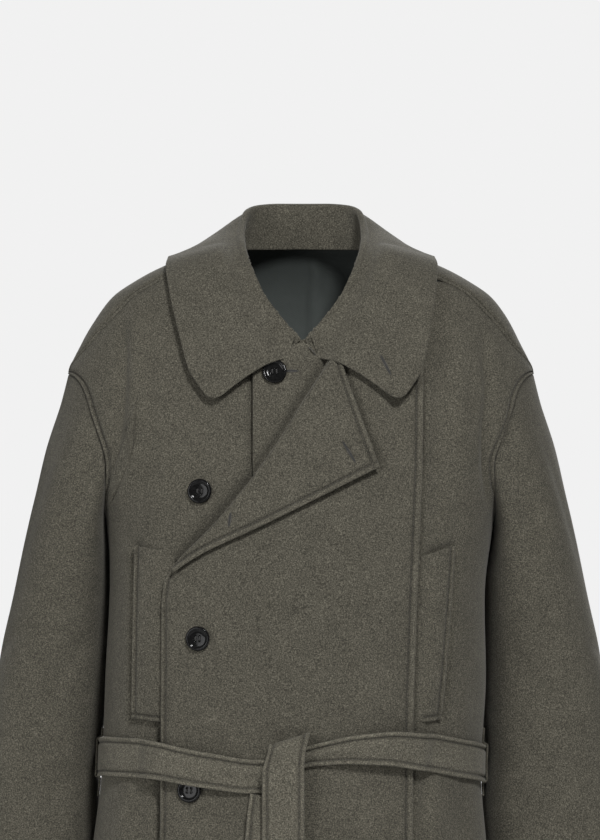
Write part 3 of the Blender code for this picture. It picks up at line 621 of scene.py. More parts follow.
# Looks: grains as features per metre and detail, and shades as a place on the grain and a colour
FLECKS = {"Scale": 760.0, "Detail": 2.0}
FIBRES = {"Scale": 420.0, "Detail": 4.0}
CLOUDS = {"Scale": 38.0, "Detail": 3.0}
BUTTON_CLOUDS = {"Scale": 260.0, "Detail": 4.0}
BUTTON_WEAR = {"Scale": 900.0, "Detail": 3.0}
THREAD_PLY = {"Scale": 2600.0, "Detail": 2.0}
FLOOR_TONES = {"Scale": 3.0, "Detail": 2.0}
GRAIN_ROUGHNESS = 0.62
FIBRE_STRETCH = (1.0, 1.0, 3.2)
FIBRE_TURN = (0.3, 0.5, 0.2)
CROSSED_STRETCH = (3.0, 1.0, 1.0)
CROSSED_TURN = (0.2, 0.4, 0.9)
BUTTON_STRETCH = (1.0, 1.0, 2.4)
CROSSED_SHARE = 0.5
FIBRE_SHARE = 0.32
CLOUD_SHARE = 0.08
LINING_CLOUD_SHARE = 0.5
TWILL_SLANT = 38.0
TWILL = {"Scale": 260.0, "Distortion": 0.6, "Detail": 1.0}
WOOL_TINT = (0.078, 0.0725, 0.0565)
WOOL_SHADES = ((0.4, 0.42), (0.48, 0.84), (0.54, 1.12), (0.62, 1.95))
# Painted shade in stitch grooves and along seams, and painted highlight on the raised rims beside stitch
# lines
PAINTED_GROOVE_AND_RIM_LIGHT = {"painted_groove_shade": -0.44, "painted_rim_highlight": 0.16}
# The belt's wool is a lighter copy of the coat's: partly painted light for the light the belt catches,
# partly its smoother nap
BELT_LIT_AND_SMOOTHER = 1.3
LINING_SHADES = [(0.25, (0.07, 0.079, 0.075)), (0.75, (0.1, 0.112, 0.106))]
BUTTON_SHADES = [(0.35, (0.003, 0.003, 0.003)), (0.7, (0.009, 0.009, 0.009))]
THREAD_SHADES = [(0.3, (0.04, 0.037, 0.03)), (0.7, (0.07, 0.066, 0.054))]
# Dark thread for the buttons, also used as painted shade in the buttonhole openings
DARK_THREAD_AND_SLIT_SHADE_COLOURS = [(0.3, (0.012, 0.012, 0.011)), (0.7, (0.03, 0.029, 0.027))]

FLOOR_SHADES = [(0.3, (0.78, 0.78, 0.77)), (0.7, (0.82, 0.82, 0.81))]

# Finishes as shader values, and relief as strength and height in metres
WOOL_FINISH = {
    "Roughness": 0.96,
    "Specular IOR Level": 0.15,
    "Sheen Weight": 0.1,
    "Sheen Roughness": 0.55,
    "Sheen Tint": (0.92, 0.9, 0.84, 1.0),
}
LINING_FINISH = {"Roughness": 0.75, "Specular IOR Level": 0.15}
BUTTON_FINISH = {"Specular IOR Level": 0.18}
BUTTON_ROUGHNESS = {"To Min": 0.06, "To Max": 0.14}
THREAD_FINISH = {"Roughness": 0.8, "Sheen Weight": 0.2}
FLOOR_FINISH = {"Roughness": 0.9}
WOOL_RELIEF = (0.55, 0.0009)
LINING_RELIEF = (0.25, 0.0003)
THREAD_RELIEF = (0.4, 0.0002)

# Studio: floor, surround, lights as place, aim, size and power, and the camera
FLOOR_HEIGHT = -1120.0
FLOOR_HALF = 2000.0
SURROUND_LIGHT = 0.17
BACKDROP = (0.88, 0.88, 0.88)
LIGHTS = {
    "key_light": ((1.0, -3.5, 2.5), (0.0, 0.0, -0.3), (0.7, 0.7), 160.0),
    "fill_light": ((-2.7, -3.3, 0.1), (0.0, 0.0, -0.4), (2.2, 2.2), 62.0),
    "back_light": ((0.6, 3.4, 1.8), (0.0, 0.0, -0.4), (2.4, 2.0), 125.0),
}
CAMERA_SENSOR = 36.0
PICTURE_HEIGHT = 907.2


def smooth(at, keys, values):
    """Read a table column at any place: a curve through the rows that never overshoots."""
    keys = np.asarray(keys, float)
    values = np.asarray(values, float)
    if keys[0] > keys[-1]:
        keys = keys[::-1]
        values = values[::-1]
    step = np.diff(keys)
    slope = np.diff(values) / step
    tangent = np.zeros_like(values)
    tangent[0] = slope[0]
    tangent[-1] = slope[-1]
    same_way = slope[:-1] * slope[1:] > 0
    before = 2 * step[1:] + step[:-1]
    after = step[1:] + 2 * step[:-1]
    safe = np.where(same_way, slope[:-1] * slope[1:], 1.0)
    shared = np.where(same_way, before * slope[1:] + after * slope[:-1], 1.0)
    mean = (before + after) * safe / shared
    tangent[1:-1] = np.where(same_way, mean, 0.0)
    at = np.clip(np.asarray(at, float), keys[0], keys[-1])
    index = np.clip(np.searchsorted(keys, at, side="right") - 1, 0, len(keys) - 2)
    gap = step[index]
    u = (at - keys[index]) / gap
    low = values[index] * (1 + 2 * u) * (1 - u) ** 2 + tangent[index] * gap * u * (1 - u) ** 2
    high = values[index + 1] * u * u * (3 - 2 * u) + tangent[index + 1] * gap * u * u * (u - 1)
    return low + high


def read(table, columns, at):
    """All columns of a table at the places asked for, by name."""
    return {name: smooth(at, table[:, 0], table[:, number]) for number, name in enumerate(columns)}


def ease(value):
    """0 below 0, 1 above 1, and a soft step between."""
    value = np.clip(value, 0.0, 1.0)
    return value * value * (3 - 2 * value)


def bell(away, half_width):
    """1 at a line, falling softly to 0 on both sides of it."""
    return np.exp(-(away / half_width) ** 2)


def unit(directions):
    """Directions of length 1."""
    return directions / np.linalg.norm(directions, axis=-1, keepdims=True)


def fold_height(angle, height, half_width):
    """How far the large folds move the cloth in or out."""
    total = np.zeros(np.broadcast(angle, height).shape)
    for row in FOLDS:
        fold = dict(zip(FOLD_COLUMNS, row))
        aside = (np.asarray(angle) - fold["angle"] + 180.0) % 360.0 - 180.0
        across = np.radians(aside) * half_width / fold["half_width"]
        above = ease((fold["top"] - height) / (fold["top"] - fold["deepest"]))
        below = ease((height - fold["low"]) / (fold["deepest"] - fold["low"]))
        total = total - fold["depth"] * np.exp(-across ** 2) * np.minimum(above, below)
    return total


def oval_reach(aside, ahead, squareness):
    """How far a squared oval reaches in a direction, as a share of its half sizes."""
    return (np.abs(aside) ** squareness + np.abs(ahead) ** squareness) ** (-1.0 / squareness)


def body_surface(angle, height):
    """A point of the body surface at an angle round from the centre front and a height."""
    angle = np.asarray(angle, float)
    height = np.asarray(height, float)
    ring = read(BODY, BODY_COLUMNS, height)
    turn = np.radians(angle)
    aside = np.sin(turn)
    ahead = np.cos(turn)
    reach = oval_reach(aside, ahead, ring["squareness"])
    depth = np.where(ahead > 0, ring["front"], ring["back"])
    out = unit(np.stack([aside * depth, -ahead * ring["half_width"]], axis=-1))
    fold = fold_height(angle, height, ring["half_width"])
    x = ring["middle"] + ring["half_width"] * aside * reach + fold * out[..., 0]
    y = -depth * ahead * reach + fold * out[..., 1]
    return np.stack([x, y, height + 0.0 * x], axis=-1)


def body_normal(angle, height):
    """The outward direction of the body surface."""
    across = body_surface(angle + NORMAL_TURN, height) - body_surface(angle - NORMAL_TURN, height)
    up = body_surface(angle, height + NORMAL_RISE) - body_surface(angle, height - NORMAL_RISE)
    return unit(np.cross(across, up))


def on_body(spots, lift=0.0):
    """Points a given height over the body surface, for spots of angle and height."""
    angle = spots[..., 0]
    height = spots[..., 1]
    lift = np.asarray(lift, float)[..., None] if np.ndim(lift) else lift
    return body_surface(angle, height) + lift * body_normal(angle, height)


def spots_seen(places):
    """Angle and height of the front surface spots that are seen at these places."""
    places = np.asarray(places, float)
    depth = np.full(places.shape[:-1], FIRST_DEPTH)
    for _ in range(DEPTH_ROUNDS):
        near = 1 + depth / VIEW_DISTANCE
        x = places[..., 0] * near
        height = VIEW_HEIGHT + (places[..., 1] - VIEW_HEIGHT) * near
        ring = read(BODY, BODY_COLUMNS, height)
        share = np.clip((x - ring["middle"]) / ring["half_width"], -1.0, 1.0)
        rest = (1 - np.abs(share) ** ring["squareness"]) ** (1 / ring["squareness"])
        angle = np.degrees(np.arctan2(share, rest))
        depth = -ring["front"] * rest
    return np.stack([angle, height], axis=-1)


def along(points, count):
    """Evenly spaced points on a smooth curve through the given ones."""
    points = np.asarray(points, float)
    length = np.concatenate([[0.0], np.cumsum(np.linalg.norm(np.diff(points, axis=0), axis=1))])
    places = np.linspace(0.0, length[-1], count)
    return np.stack([smooth(places, length, points[:, k]) for k in range(points.shape[1])], axis=-1)


def at_heights(points, heights):
    """Points of a rising curve at the given heights."""
    return np.stack([smooth(heights, points[:, 1], points[:, 0]), heights], axis=-1)


def patch(low, high, near, far, grip=1.0):
    """A grid of spots between four edges that share corners; more grip keeps a side's bend close to it."""
    s = np.linspace(0.0, 1.0, len(low))[None, :, None]
    t = np.linspace(0.0, 1.0, len(near))[:, None, None]
    ruled = (1 - t) * low[None] + t * high[None]
    near_bend = near[:, None] - ruled[:, :1]
    far_bend = far[:, None] - ruled[:, -1:]
    return ruled + (1 - s) ** grip * near_bend + s ** grip * far_bend


def mirrored(spots):
    """The same spots on the wearer's right."""
    return spots * np.array([-1.0, 1.0])


def armhole(turn):
    """Armhole spots on the wearer's left: turn 0 at the shoulder tip, a quarter turn at the front."""
    turn = np.asarray(turn, float)
    middle = (SHOULDER_TIP + ARMPIT) / 2
    half = (SHOULDER_TIP - ARMPIT) / 2
    side = np.sin(turn)
    bow = np.where(np.cos(turn) > 0, ARMHOLE_TOP_BOW, ARMHOLE_LOW_BOW)
    reach = np.where(side > 0, -ARMHOLE_FRONT, ARMHOLE_BACK) * np.abs(side) ** bow
    return np.stack([90.0 + reach, middle + half * np.cos(turn)], axis=-1)


def neckline(angle):
    """Neckline spots at angles measured on either side of the centre front."""
    angle = np.asarray(angle, float)
    folded = np.abs((angle + 180.0) % 360.0 - 180.0)
    return np.stack([angle, smooth(folded, NECKLINE[:, 0], NECKLINE[:, 1])], axis=-1)


def shoulder_seam():
    """Shoulder seam spots on the wearer's left, from the neck to the shoulder tip."""
    seen = spots_seen(SHOULDER_SEAM)
    neck = neckline(seen[0, 0])
    tip = np.array([[90.0, SHOULDER_TIP]])
    seam = np.concatenate([neck[None], seen[1:], tip])
    inner = along(seam[:2], INNER_SHOULDER_STEPS + 1)
    outer = along(seam[1:], SHOULDER_STEPS + 1)
    return inner, outer


def seam_spots(seam, aside, top):
    """A long front seam from the hem to its top spot, moved sideways by a lap."""
    rising = np.linspace(ARMPIT, seam[-1, 1], ARMHOLE_STEPS + 1)[1:]
    seen = at_heights(seam, np.concatenate([SIDE_ROWS, rising]))
    seen[:, 0] += aside * ease((seam[-1, 1] - seen[:, 1]) / SEAM_TOP_EASE)
    spots = spots_seen(seen)
    spots[0, 1] = HEM
    spots[-1] = top
    return spots


def side_edge():
    """Side seam and front of the armhole on the wearer's left, hem to shoulder tip."""
    seam = np.stack([np.full(len(SIDE_ROWS), 90.0), SIDE_ROWS], axis=-1)
    front = armhole(np.linspace(math.pi, 0.0, ARMHOLE_STEPS + 1))
    return np.concatenate([seam, front[1:]])


def hem_spots(first, last, count):
    """Spots along the hem between two angles."""
    angle = np.linspace(first, last, count)
    return np.stack([angle, np.full(count, HEM)], axis=-1)


def wrap_lift(spots):
    """Height of the outer wrap over the body: high over the under layers, low at the lapped seam."""
    seam_line = spots_seen(LEFT_SEAM)
    seam = smooth(spots[..., 1], seam_line[:, 1], seam_line[:, 0])
    raised = ease((WRAP_NECK - spots[..., 1]) / WRAP_NECK_EASE)
    start = seam - LAP_FALL * (1 + raised) - LAP_FLAT
    down = ease((spots[..., 0] - start) / (seam - LAP_FLAT - start))
    return WRAP_LIFT * raised * (1 - down) + LAPPED_LIFT * down


def body_lift(points):
    """Nearest body spot to each point, and the point's height over it."""
    ring = read(BODY, BODY_COLUMNS, points[..., 2])
    depth = np.where(points[..., 1] < 0, ring["front"], ring["back"])
    aside = (points[..., 0] - ring["middle"]) / ring["half_width"]
    angle = np.degrees(np.arctan2(aside, -points[..., 1] / depth))
    out = body_normal(angle, points[..., 2])
    base = body_surface(angle, points[..., 2])
    return np.sum((points - base) * out, axis=-1), out


def belt_lift(angle):
    """Clearance of the belt's inner face over the body surface, over every layer below it."""
    waist = np.array([smooth(0.0, BELT[:, 0], BELT[:, 1])])
    left = spots_seen(at_heights(LEFT_SEAM, waist))[0, 0]
    right = spots_seen(at_heights(WRAP_EDGE, waist))[0, 0]
    over_left = ease((left + BELT_LEFT_STEP[0] - angle) / BELT_LEFT_STEP[1])
    over_right = ease((angle - right + BELT_RIGHT_STEP[0]) / BELT_RIGHT_STEP[1])
    over = np.minimum(over_left, over_right) * WRAP_LIFT
    button = spots_seen(np.array([BUTTONS["button_waist"]]))[0, 0]
    bump = BUTTON_THICK + BUTTON_CLEAR + BELT_BUTTON_CLEAR
    return BELT_CLEAR + over + bump * bell(angle - button, BELT_BUTTON_WIDTH)


def spread(length, begin, finish, count):
    """Places along a length: crowded at both ends, even between."""
    room = END_ROOM * length
    first = np.asarray(begin) * min(1.0, room / begin[-1])
    last = np.asarray(finish) * min(1.0, room / finish[-1])
    middle = np.linspace(first[-1], length - last[-1], count + 2)[1:-1]
    return np.concatenate([first, middle, length - last[::-1]])


def lay_out(grid, begin, finish, step, start=None):
    """Move the columns of a grid of points to even places, counted along each row."""
    gaps = np.linalg.norm(np.diff(grid, axis=1), axis=-1)
    length = np.concatenate([np.zeros((len(grid), 1)), np.cumsum(gaps, axis=1)], axis=1)
    if start is None:
        start = np.zeros(len(grid))
    whole = length[:, -1] - start
    count = max(2, round((np.max(whole) - begin[-1] - finish[-1]) / step))
    made = np.empty((len(grid), len(begin) + count + len(finish), 3))
    for number, row in enumerate(grid):
        places = start[number] + spread(whole[number], begin, finish, count)
        for axis in range(3):
            made[number, :, axis] = np.interp(places, length[number], row[:, axis])
    return made


def edge_places(thick, stitch):
    """Distances from an edge that its rounding and its stitch line need."""
    rounded = [share * thick / 2 for share in EDGE_SHARES] + [thick]
    if stitch is None:
        return rounded
    return rounded + [stitch + beside for beside in STITCH_BESIDE if stitch + beside > thick]


def square_to(points, tube=False):
    """Directions square to a grid of points."""
    along_rows = np.gradient(points, axis=0)
    if tube:
        along_columns = np.roll(points, -1, axis=1) - np.roll(points, 1, axis=1)
    else:
        along_columns = np.gradient(points, axis=1)
    out = np.cross(along_columns, along_rows)
    return out / np.maximum(np.linalg.norm(out, axis=-1, keepdims=True), LEAST_LENGTH)


def as_seen(points):
    """Places across and up at which points show from the front."""
    near = 1 + points[..., 1] / VIEW_DISTANCE
    return points[..., 0] / near, VIEW_HEIGHT + (points[..., 2] - VIEW_HEIGHT) / near


def run_depth(across, up, table):
    """Sum of the soft creases of a table at places across and up."""
    total = np.zeros(across.shape)
    for values in table:
        row = dict(zip(CREASE_COLUMNS, values))
        run_across = row["across_end"] - row["across_start"]
        run_up = row["up_end"] - row["up_start"]
        length = math.hypot(run_across, run_up)
        ahead = ((across - row["across_start"]) * run_across + (up - row["up_start"]) * run_up) / length
        aside = ((across - row["across_start"]) * run_up - (up - row["up_start"]) * run_across) / length
        wander = CREASE_WANDER * np.sin(ahead / CREASE_WAVE + row["across_start"])
        wander = wander * min(1.0, length / CREASE_LONG)
        taper = CREASE_TAPER * length
        ends = ease((ahead + taper) / (2 * taper)) * ease((length - ahead + taper) / (2 * taper))
        total = total + row["depth"] * bell(aside - wander, row["half_width"]) * ends
    return total


def facing(amount):
    """How much a surface faces a direction, eased so that it fades at the turn."""
    return ease((amount - FACING_START) / FACING_EASE)


def crease_depth(points, out):
    """Depth of all soft creases at points whose surface faces out."""
    across, up = as_seen(points)
    depth = run_depth(across, up, FRONT_CREASES) * facing(-out[..., 1])
    depth = depth + run_depth(points[..., 0], points[..., 2], BACK_CREASES) * facing(out[..., 1])
    side = run_depth(points[..., 1], points[..., 2], SIDE_CREASES)
    outward = facing(out[..., 0] * np.sign(points[..., 0]))
    return depth + side * outward * ease((np.abs(points[..., 0]) - SIDE_REACH) / SIDE_EASE)


def line_distance(across, up, line):
    """Distance from places as seen to a line through given places."""
    nearest = np.full(across.shape, np.inf)
    for first, last in zip(line[:-1], line[1:]):
        run = last - first
        share = ((across - first[0]) * run[0] + (up - first[1]) * run[1]) / (run @ run)
        share = np.clip(share, 0.0, 1.0)
        away = np.hypot(across - first[0] - share * run[0], up - first[1] - share * run[1])
        nearest = np.minimum(nearest, away)
    return nearest


def dip_depth(name, points):
    """How far a piece dips beside the edges that lie over it."""
    across, up = as_seen(points)
    total = np.zeros(across.shape)
    for line, dip in OVERLAID.get(name, []):
        row = dict(zip(DIP_COLUMNS, dip))
        away = line_distance(across, up, line)
        total = np.maximum(total, row["depth"] * bell(away, row["half_width"]))
    return total


def put_in_scene(name, data):
    """A new object in the scene."""
    made = bpy.data.objects.new(name, data)
    bpy.context.scene.collection.objects.link(made)
    return made


def mesh_from(name, points, faces, look):
    """A smooth-shaded object in metres from points in millimetres and lists of corner numbers."""
    mesh = bpy.data.meshes.new(name)
    mesh.from_pydata((np.asarray(points) * MM).tolist(), [], faces)
    mesh.polygons.foreach_set("use_smooth", [True] * len(mesh.polygons))
    mesh.materials.append(look)
    mesh.update()
    return put_in_scene(name, mesh)


def grid_faces(numbers, tube=False):
    """Four-sided faces over a grid of vertex numbers."""
    if tube:
        numbers = np.concatenate([numbers, numbers[:, :1]], axis=1)
    corners = [numbers[:-1, :-1], numbers[:-1, 1:], numbers[1:, 1:], numbers[1:, :-1]]
    return np.stack(corners, axis=-1).reshape(-1, 4)


def gone(points, axis):
    """Distance gone along a grid from its first row or column."""
    steps = np.linalg.norm(np.diff(points, axis=axis), axis=-1)
    start = np.zeros_like(np.take(steps, [0], axis=axis))
    return np.concatenate([start, np.cumsum(steps, axis=axis)], axis=axis)


def edge_distances(middle, tube):
    """Distance of each point of a cloth from each of its open edges."""
    down = gone(middle, 0)
    edge = {"low": down, "high": down[-1:] - down}
    if not tube:
        over = gone(middle, 1)
        edge["near"] = over
        edge["far"] = over[:, -1:] - over
    return edge


def stitch_dent_and_painted_light(middle, edge, plump, stitches, seams):
    """How far stitches pull a cloth in; painted shade for its stitch grooves and seams, painted highlight
    for its rims.
    """
    dent = np.zeros(plump.shape)
    line = np.zeros(plump.shape)
    rim_highlight = np.zeros(plump.shape)
    # Painted shade in each stitch groove, and painted highlight on the raised rim outside it
    for side, (away, low, high) in stitches.items():
        shown = (middle[..., 2] > low) & (middle[..., 2] < high)
        pull = bell(edge[side] - away, STITCH_DENT_WIDTH)
        puffed = STITCH_PUFF * bell(edge[side] - away + STITCH_PUFF_AWAY, STITCH_DENT_WIDTH)
        dent = dent + shown * (STITCH_DENT * pull - puffed * plump)
        line = np.maximum(line, shown * pull)
        rim_highlight = np.maximum(rim_highlight, shown * ease((away - edge[side]) / RIM_HIGHLIGHT_EASE) * (1 - pull))
    # Painted shade along seams
    for side in seams:
        line = np.maximum(line, bell(edge[side], SEAM_SHADE_WIDTH))
    return dent, {"painted_groove_shade": line, "painted_rim_highlight": rim_highlight}


def shell_faces(rows, columns, tube):
    """Faces of both sides of a cloth, joined along its open edges."""
    outer_number = np.arange(rows * columns).reshape(rows, columns)
    inner_number = outer_number + rows * columns
    rim = np.zeros((rows, columns), bool)
    rim[[0, -1]] = True
    if not tube:
        rim[:, [0, -1]] = True
    inner_number = np.where(rim, outer_number, inner_number)
    return np.concatenate([grid_faces(outer_number, tube), grid_faces(inner_number, tube)[:, ::-1]])


def cloth(name, middle, thick, look, stitches=None, tube=False, creased=True, seams=()):
    """A closed wall of cloth with rounded edges, laid both ways from its middle surface."""
    stitches = stitches or {}
    out = square_to(middle, tube)
    if creased:
        depth = crease_depth(middle, out) - dip_depth(name, middle)
        middle = middle + depth[..., None] * out
        out = square_to(middle, tube)
    edge = edge_distances(middle, tube)
    nearest = np.minimum.reduce(list(edge.values()))
    inward = np.clip(1 - nearest / (thick / 2), 0.0, 1.0)
    half = thick / 2 * np.sqrt(1 - inward ** 2)
    dent, painted_shading = stitch_dent_and_painted_light(middle, edge, nearest > thick / 2, stitches, seams)
    outer = middle + (half - dent)[..., None] * out
    inner = middle - half[..., None] * out
    numbers = shell_faces(*half.shape, tube)
    points = np.concatenate([outer.reshape(-1, 3), inner.reshape(-1, 3)])
    used = np.unique(numbers)
    fresh = np.full(len(points), -1)
    fresh[used] = np.arange(len(used))
    made = mesh_from(name + "_cloth", points[used], fresh[numbers].tolist(), look)
    # Painted shade and highlight beside the sewing, kept as point attributes for the wool colour
    for kind, values in painted_shading.items():
        shade = np.concatenate([values.reshape(-1), np.zeros(values.size)])
        made.data.attributes.new(kind, "FLOAT", "POINT").data.foreach_set("value", shade[used])
    for side, (away, low, high) in stitches.items():
        keep_line(outer, out, edge[side], side, away, low, high)
    return made


def keep_line(outer, out, distance, side, away, low, high):
    """Remember the path of a stitch line that runs beside one edge."""
    across = side in ("near", "far")
    count = outer.shape[0] if across else outer.shape[1]
    path = []
    for number in range(count):
        gap = distance[number] if across else distance[:, number]
        points = outer[number] if across else outer[:, number]
        square = out[number] if across else out[:, number]
        spot = int(np.argmin(np.abs(gap - away)))
        point = points[spot] + (STITCH_RADIUS - STITCH_SINK) * square[spot]
        if low < point[2] < high:
            path.append(point)
    if len(path) > SHORTEST_LINE:
        STITCH_LINES.append(np.array(path))


def even(middle, thick, step, stitches=None, start=None):
    """Lay a middle surface out evenly both ways, crowded at its edges and stitch lines."""
    stitches = stitches or {}
    sides = ("low", "high", "near", "far")
    places = {side: edge_places(thick, stitches.get(side, (None,))[0]) for side in sides}
    middle = lay_out(middle, places["near"], places["far"], step, start)
    turned = lay_out(middle.transpose(1, 0, 2), places["low"], places["high"], step)
    return turned.transpose(1, 0, 2)


def laid(spots, lift, thick, step, stitches=None, start=None):
    """Middle surface of a piece on the body, laid out evenly both ways."""
    middle = on_body(spots, lift - thick / 2 + np.zeros(spots.shape[:2]))
    return even(middle, thick, step, stitches, start)


def sewn_along(away, *sides, low=HEM, high=0.0):
    """Stitch lines a distance from some edges, between two heights."""
    return {side: (away, low, high) for side in sides}


def back_spots():
    """Spots of the back: side seams, armholes and forward shoulder seams are its two sides."""
    inner, outer = shoulder_seam()
    seam = np.stack([np.full(len(SIDE_ROWS), 90.0), SIDE_ROWS], axis=-1)
    hole = armhole(np.linspace(-math.pi, 0.0, ARMHOLE_STEPS + 1))
    left = np.concatenate([seam, hole[1:], outer[::-1][1:], inner[::-1][1:]])
    right = left * np.array([-1.0, 1.0]) + np.array([360.0, 0.0])
    low = hem_spots(90.0, 270.0, BACK_COLUMNS + 1)
    high = neckline(np.linspace(left[-1, 0], right[-1, 0], BACK_COLUMNS + 1))
    return patch(low, high, left, right)


def make_back(look):
    """Back, stitched beside the armholes and the forward shoulder seams."""
    sewn = sewn_along(ARMHOLE_STITCH, "near", "far", low=ARMPIT)
    middle = laid(back_spots(), 0.0, WOOL, WIDE_STEP, sewn)
    return cloth("back", middle, WOOL, look, sewn, seams=("near", "far"))


def make_lining(look):
    """Lining of the upper back, with a loose pleat at its centre."""
    margin = round(LINING_MARGIN * BACK_COLUMNS)
    spots = back_spots()[len(SIDE_ROWS) + ARMHOLE_STEPS // 2:, margin:-margin]
    middle = laid(spots, -WOOL - 2 * LAYER, LINING, CLOTH_STEP)
    across = (middle[..., 0] - PLEAT_PLACE) / PLEAT_WIDTH
    pleat = np.where(across > 0, np.exp(-across ** 2), np.exp(-(across * PLEAT_LIP) ** 2))
    middle[..., 1] -= PLEAT_DEPTH * pleat * ease(-middle[..., 2] / PLEAT_FADE)
    return cloth("lining_back", middle, LINING, look, creased=False)


def make_side_left(look):
    """Side part of the left front, from under the lapped seam to the side seam and armhole."""
    outer = shoulder_seam()[1]
    far = side_edge()
    near = seam_spots(LEFT_SEAM, -LAP, outer[0])
    low = hem_spots(near[0, 0], far[0, 0], SHOULDER_STEPS + 1)
    sewn = sewn_along(ARMHOLE_STITCH, "far", low=ARMHOLE_STITCH_LOW)
    spots = patch(low, outer, near, far)
    middle = laid(spots, 0.0, WOOL, CLOTH_STEP, sewn)
    return cloth("side_left", middle, WOOL, look, sewn, seams=("far", "high"))


def make_front_right(look):
    """Under front on the wearer's right, from the side seam to the edge that hides under the wrap."""
    inner, outer = shoulder_seam()
    near = mirrored(side_edge())
    heights = np.concatenate([SIDE_ROWS, np.linspace(ARMPIT, UNDERLAP_TOP, ARMHOLE_STEPS + 1)[1:]])
    far = spots_seen(np.stack([np.full(len(heights), UNDERLAP), heights], axis=-1))
    far[0, 1] = HEM
    neck = neckline(np.linspace(-inner[0, 0], 0.0, NECK_STEPS + 1))
    over = along(np.stack([neck[-1], far[-1]]), UNDERLAP_STEPS + 1)
    high = np.concatenate([mirrored(outer[::-1]), mirrored(inner[::-1])[1:], neck[1:], over[1:]])
    low = hem_spots(near[0, 0], far[0, 0], len(high))
    sewn = sewn_along(ARMHOLE_STITCH, "near", low=ARMHOLE_STITCH_LOW)
    spots = patch(low, high, near, far, PANEL_GRIP)
    middle = laid(spots, 0.0, WOOL, CLOTH_STEP, sewn)
    return cloth("front_right", middle, WOOL, look, sewn, seams=("near", "high"))


def make_placket(look):
    """Narrow under layer of the left front, seen between the collar ends and the wrap."""
    aside = np.linspace(PLACKET["edge"], PLACKET["inner"], FINE_COLUMNS)
    rising = np.linspace(0.0, 1.0, FINE_ROWS)[:, None]
    top = PLACKET["top"] + PLACKET_NECK_RISE * bell(aside - PLACKET_NECK, PLACKET_NECK_WIDTH)
    height = PLACKET["low"] + (top - PLACKET["low"]) * rising
    spots = spots_seen(np.stack([aside + 0.0 * height, height], axis=-1))
    return cloth("inner_placket", laid(spots, PLACKET_LIFT, WOOL, CLOTH_STEP), WOOL, look)


def make_wrap(look):
    """Outer left front, from its free edge and the turn of the lapel to the lapped seam."""
    inner, outer = shoulder_seam()
    edge = at_heights(WRAP_EDGE, SIDE_ROWS[SIDE_ROWS < WRAP_EDGE[-1, 1]])
    rest = len(SIDE_ROWS) + ARMHOLE_STEPS - len(edge)
    turned = along(np.concatenate([WRAP_EDGE[-1:], WRAP_FOLD]), rest)
    near = spots_seen(np.concatenate([edge, turned]))
    near[0, 1] = HEM
    far = seam_spots(LEFT_SEAM, 0.0, outer[0])
    neck = neckline(np.linspace(near[-1, 0], inner[0, 0], WRAP_COLUMNS - INNER_SHOULDER_STEPS + 1))
    start_drop = near[-1, 1] - neck[0, 1]
    neck[:, 1] += start_drop * (1 - np.linspace(0, 1, len(neck))) ** 2
    high = np.concatenate([neck, inner[1:]])
    low = hem_spots(near[0, 0], far[0, 0], WRAP_COLUMNS + 1)
    spots = patch(low, high, near, far)
    back_from_turn = (TURN_RADIUS + WOOL / 2) * ease((near[:, 1] - TURN_START) / TURN_EASE)
    sewn = sewn_along(WRAP_STITCH, "near", high=TURN_START)
    sewn.update(sewn_along(LAPPED_STITCH, "far", high=LAPPED_STITCH_TOP))
    middle = laid(spots, wrap_lift(spots), WOOL, CLOTH_STEP, sewn, back_from_turn)
    return cloth("front_left", middle, WOOL, look, sewn)


def make_lapel(look):
    """Turned-back top of the wrap: a soft turn along the fold and a wedge to its stitched edges."""
    fold = along(np.concatenate([WRAP_FOLD[1:-2], [LAPEL_TOP]]), FINE_ROWS)
    low_edge = along(LAPEL_LOW_EDGE, FINE_ROWS)
    rising = np.linspace(0.0, 1.0, FINE_ROWS)[:, None]
    t = np.linspace(0.0, 1.0, FINE_COLUMNS)[None, :, None]
    spots = spots_seen(fold[:, None] * (1 - t) + low_edge[:, None] * t)
    wrap_middle = wrap_lift(spots) - WOOL / 2
    from_turn = np.linalg.norm(on_body(spots) - on_body(spots)[:, :1], axis=-1)
    flat = LAPEL_LIFT + LAPEL_RISE * t[..., 0] * rising
    soft = (2 * TURN_RADIUS - LAPEL_LIFT) * np.exp(-from_turn / TURN_EASE)
    sheet = on_body(spots, wrap_middle + flat + soft)
    edge = on_body(spots[:, 0], wrap_middle[:, 0])
    up = body_normal(spots[:, 0, 0], spots[:, 0, 1])
    run = np.gradient(edge, axis=0)
    aside = unit(np.cross(run, up))
    centre = edge + (TURN_RADIUS + WOOL / 2) * aside + TURN_RADIUS * up
    turn = [
        centre + TURN_RADIUS * (math.sin(angle) * up - math.cos(angle) * aside)
        for angle in np.linspace(-math.pi / 2, math.pi / 2, TURN_STEPS)
    ]
    start = turn[-1][:, None]
    fade = np.exp(-from_turn / TURN_EASE)[..., None]
    sheet = sheet + (start - sheet[:, :1]) * fade
    middle = np.concatenate([np.stack(turn[:-1], axis=1), sheet], axis=1)
    sewn = sewn_along(LAPEL_STITCH, "far", "high")
    middle = even(middle, WOOL, CLOSE_STEP, sewn)
    return cloth("lapel", middle, WOOL, look, sewn)


def make_welt(name, corners, look):
    """A long pocket welt: its sewn edge sinks into the front and its outer edge stands proud."""
    s = np.linspace(0.0, 1.0, FINE_COLUMNS)[None, :, None]
    t = np.linspace(0.0, 1.0, FINE_ROWS)[:, None, None]
    top = corners[0] * (1 - s) + corners[1] * s
    low = corners[3] * (1 - s) + corners[2] * s
    spots = spots_seen(low * (1 - t) + top * t)
    lift = WELT_SUNK + (WELT_LIFT + WELT_PROUD - WELT_SUNK) * ease(s[..., 0] / WELT_RISE_SHARE)
    lift = lift + np.zeros(spots.shape[:2])
    outer_side = "far"
    if corners[1, 0] < corners[0, 0]:
        spots = spots[:, ::-1]
        lift = lift[:, ::-1]
        outer_side = "near"
    sewn = sewn_along(WELT_STITCH, outer_side, "low")
    return cloth(name, laid(spots, lift, WOOL, CLOSE_STEP, sewn), WOOL, look, sewn)


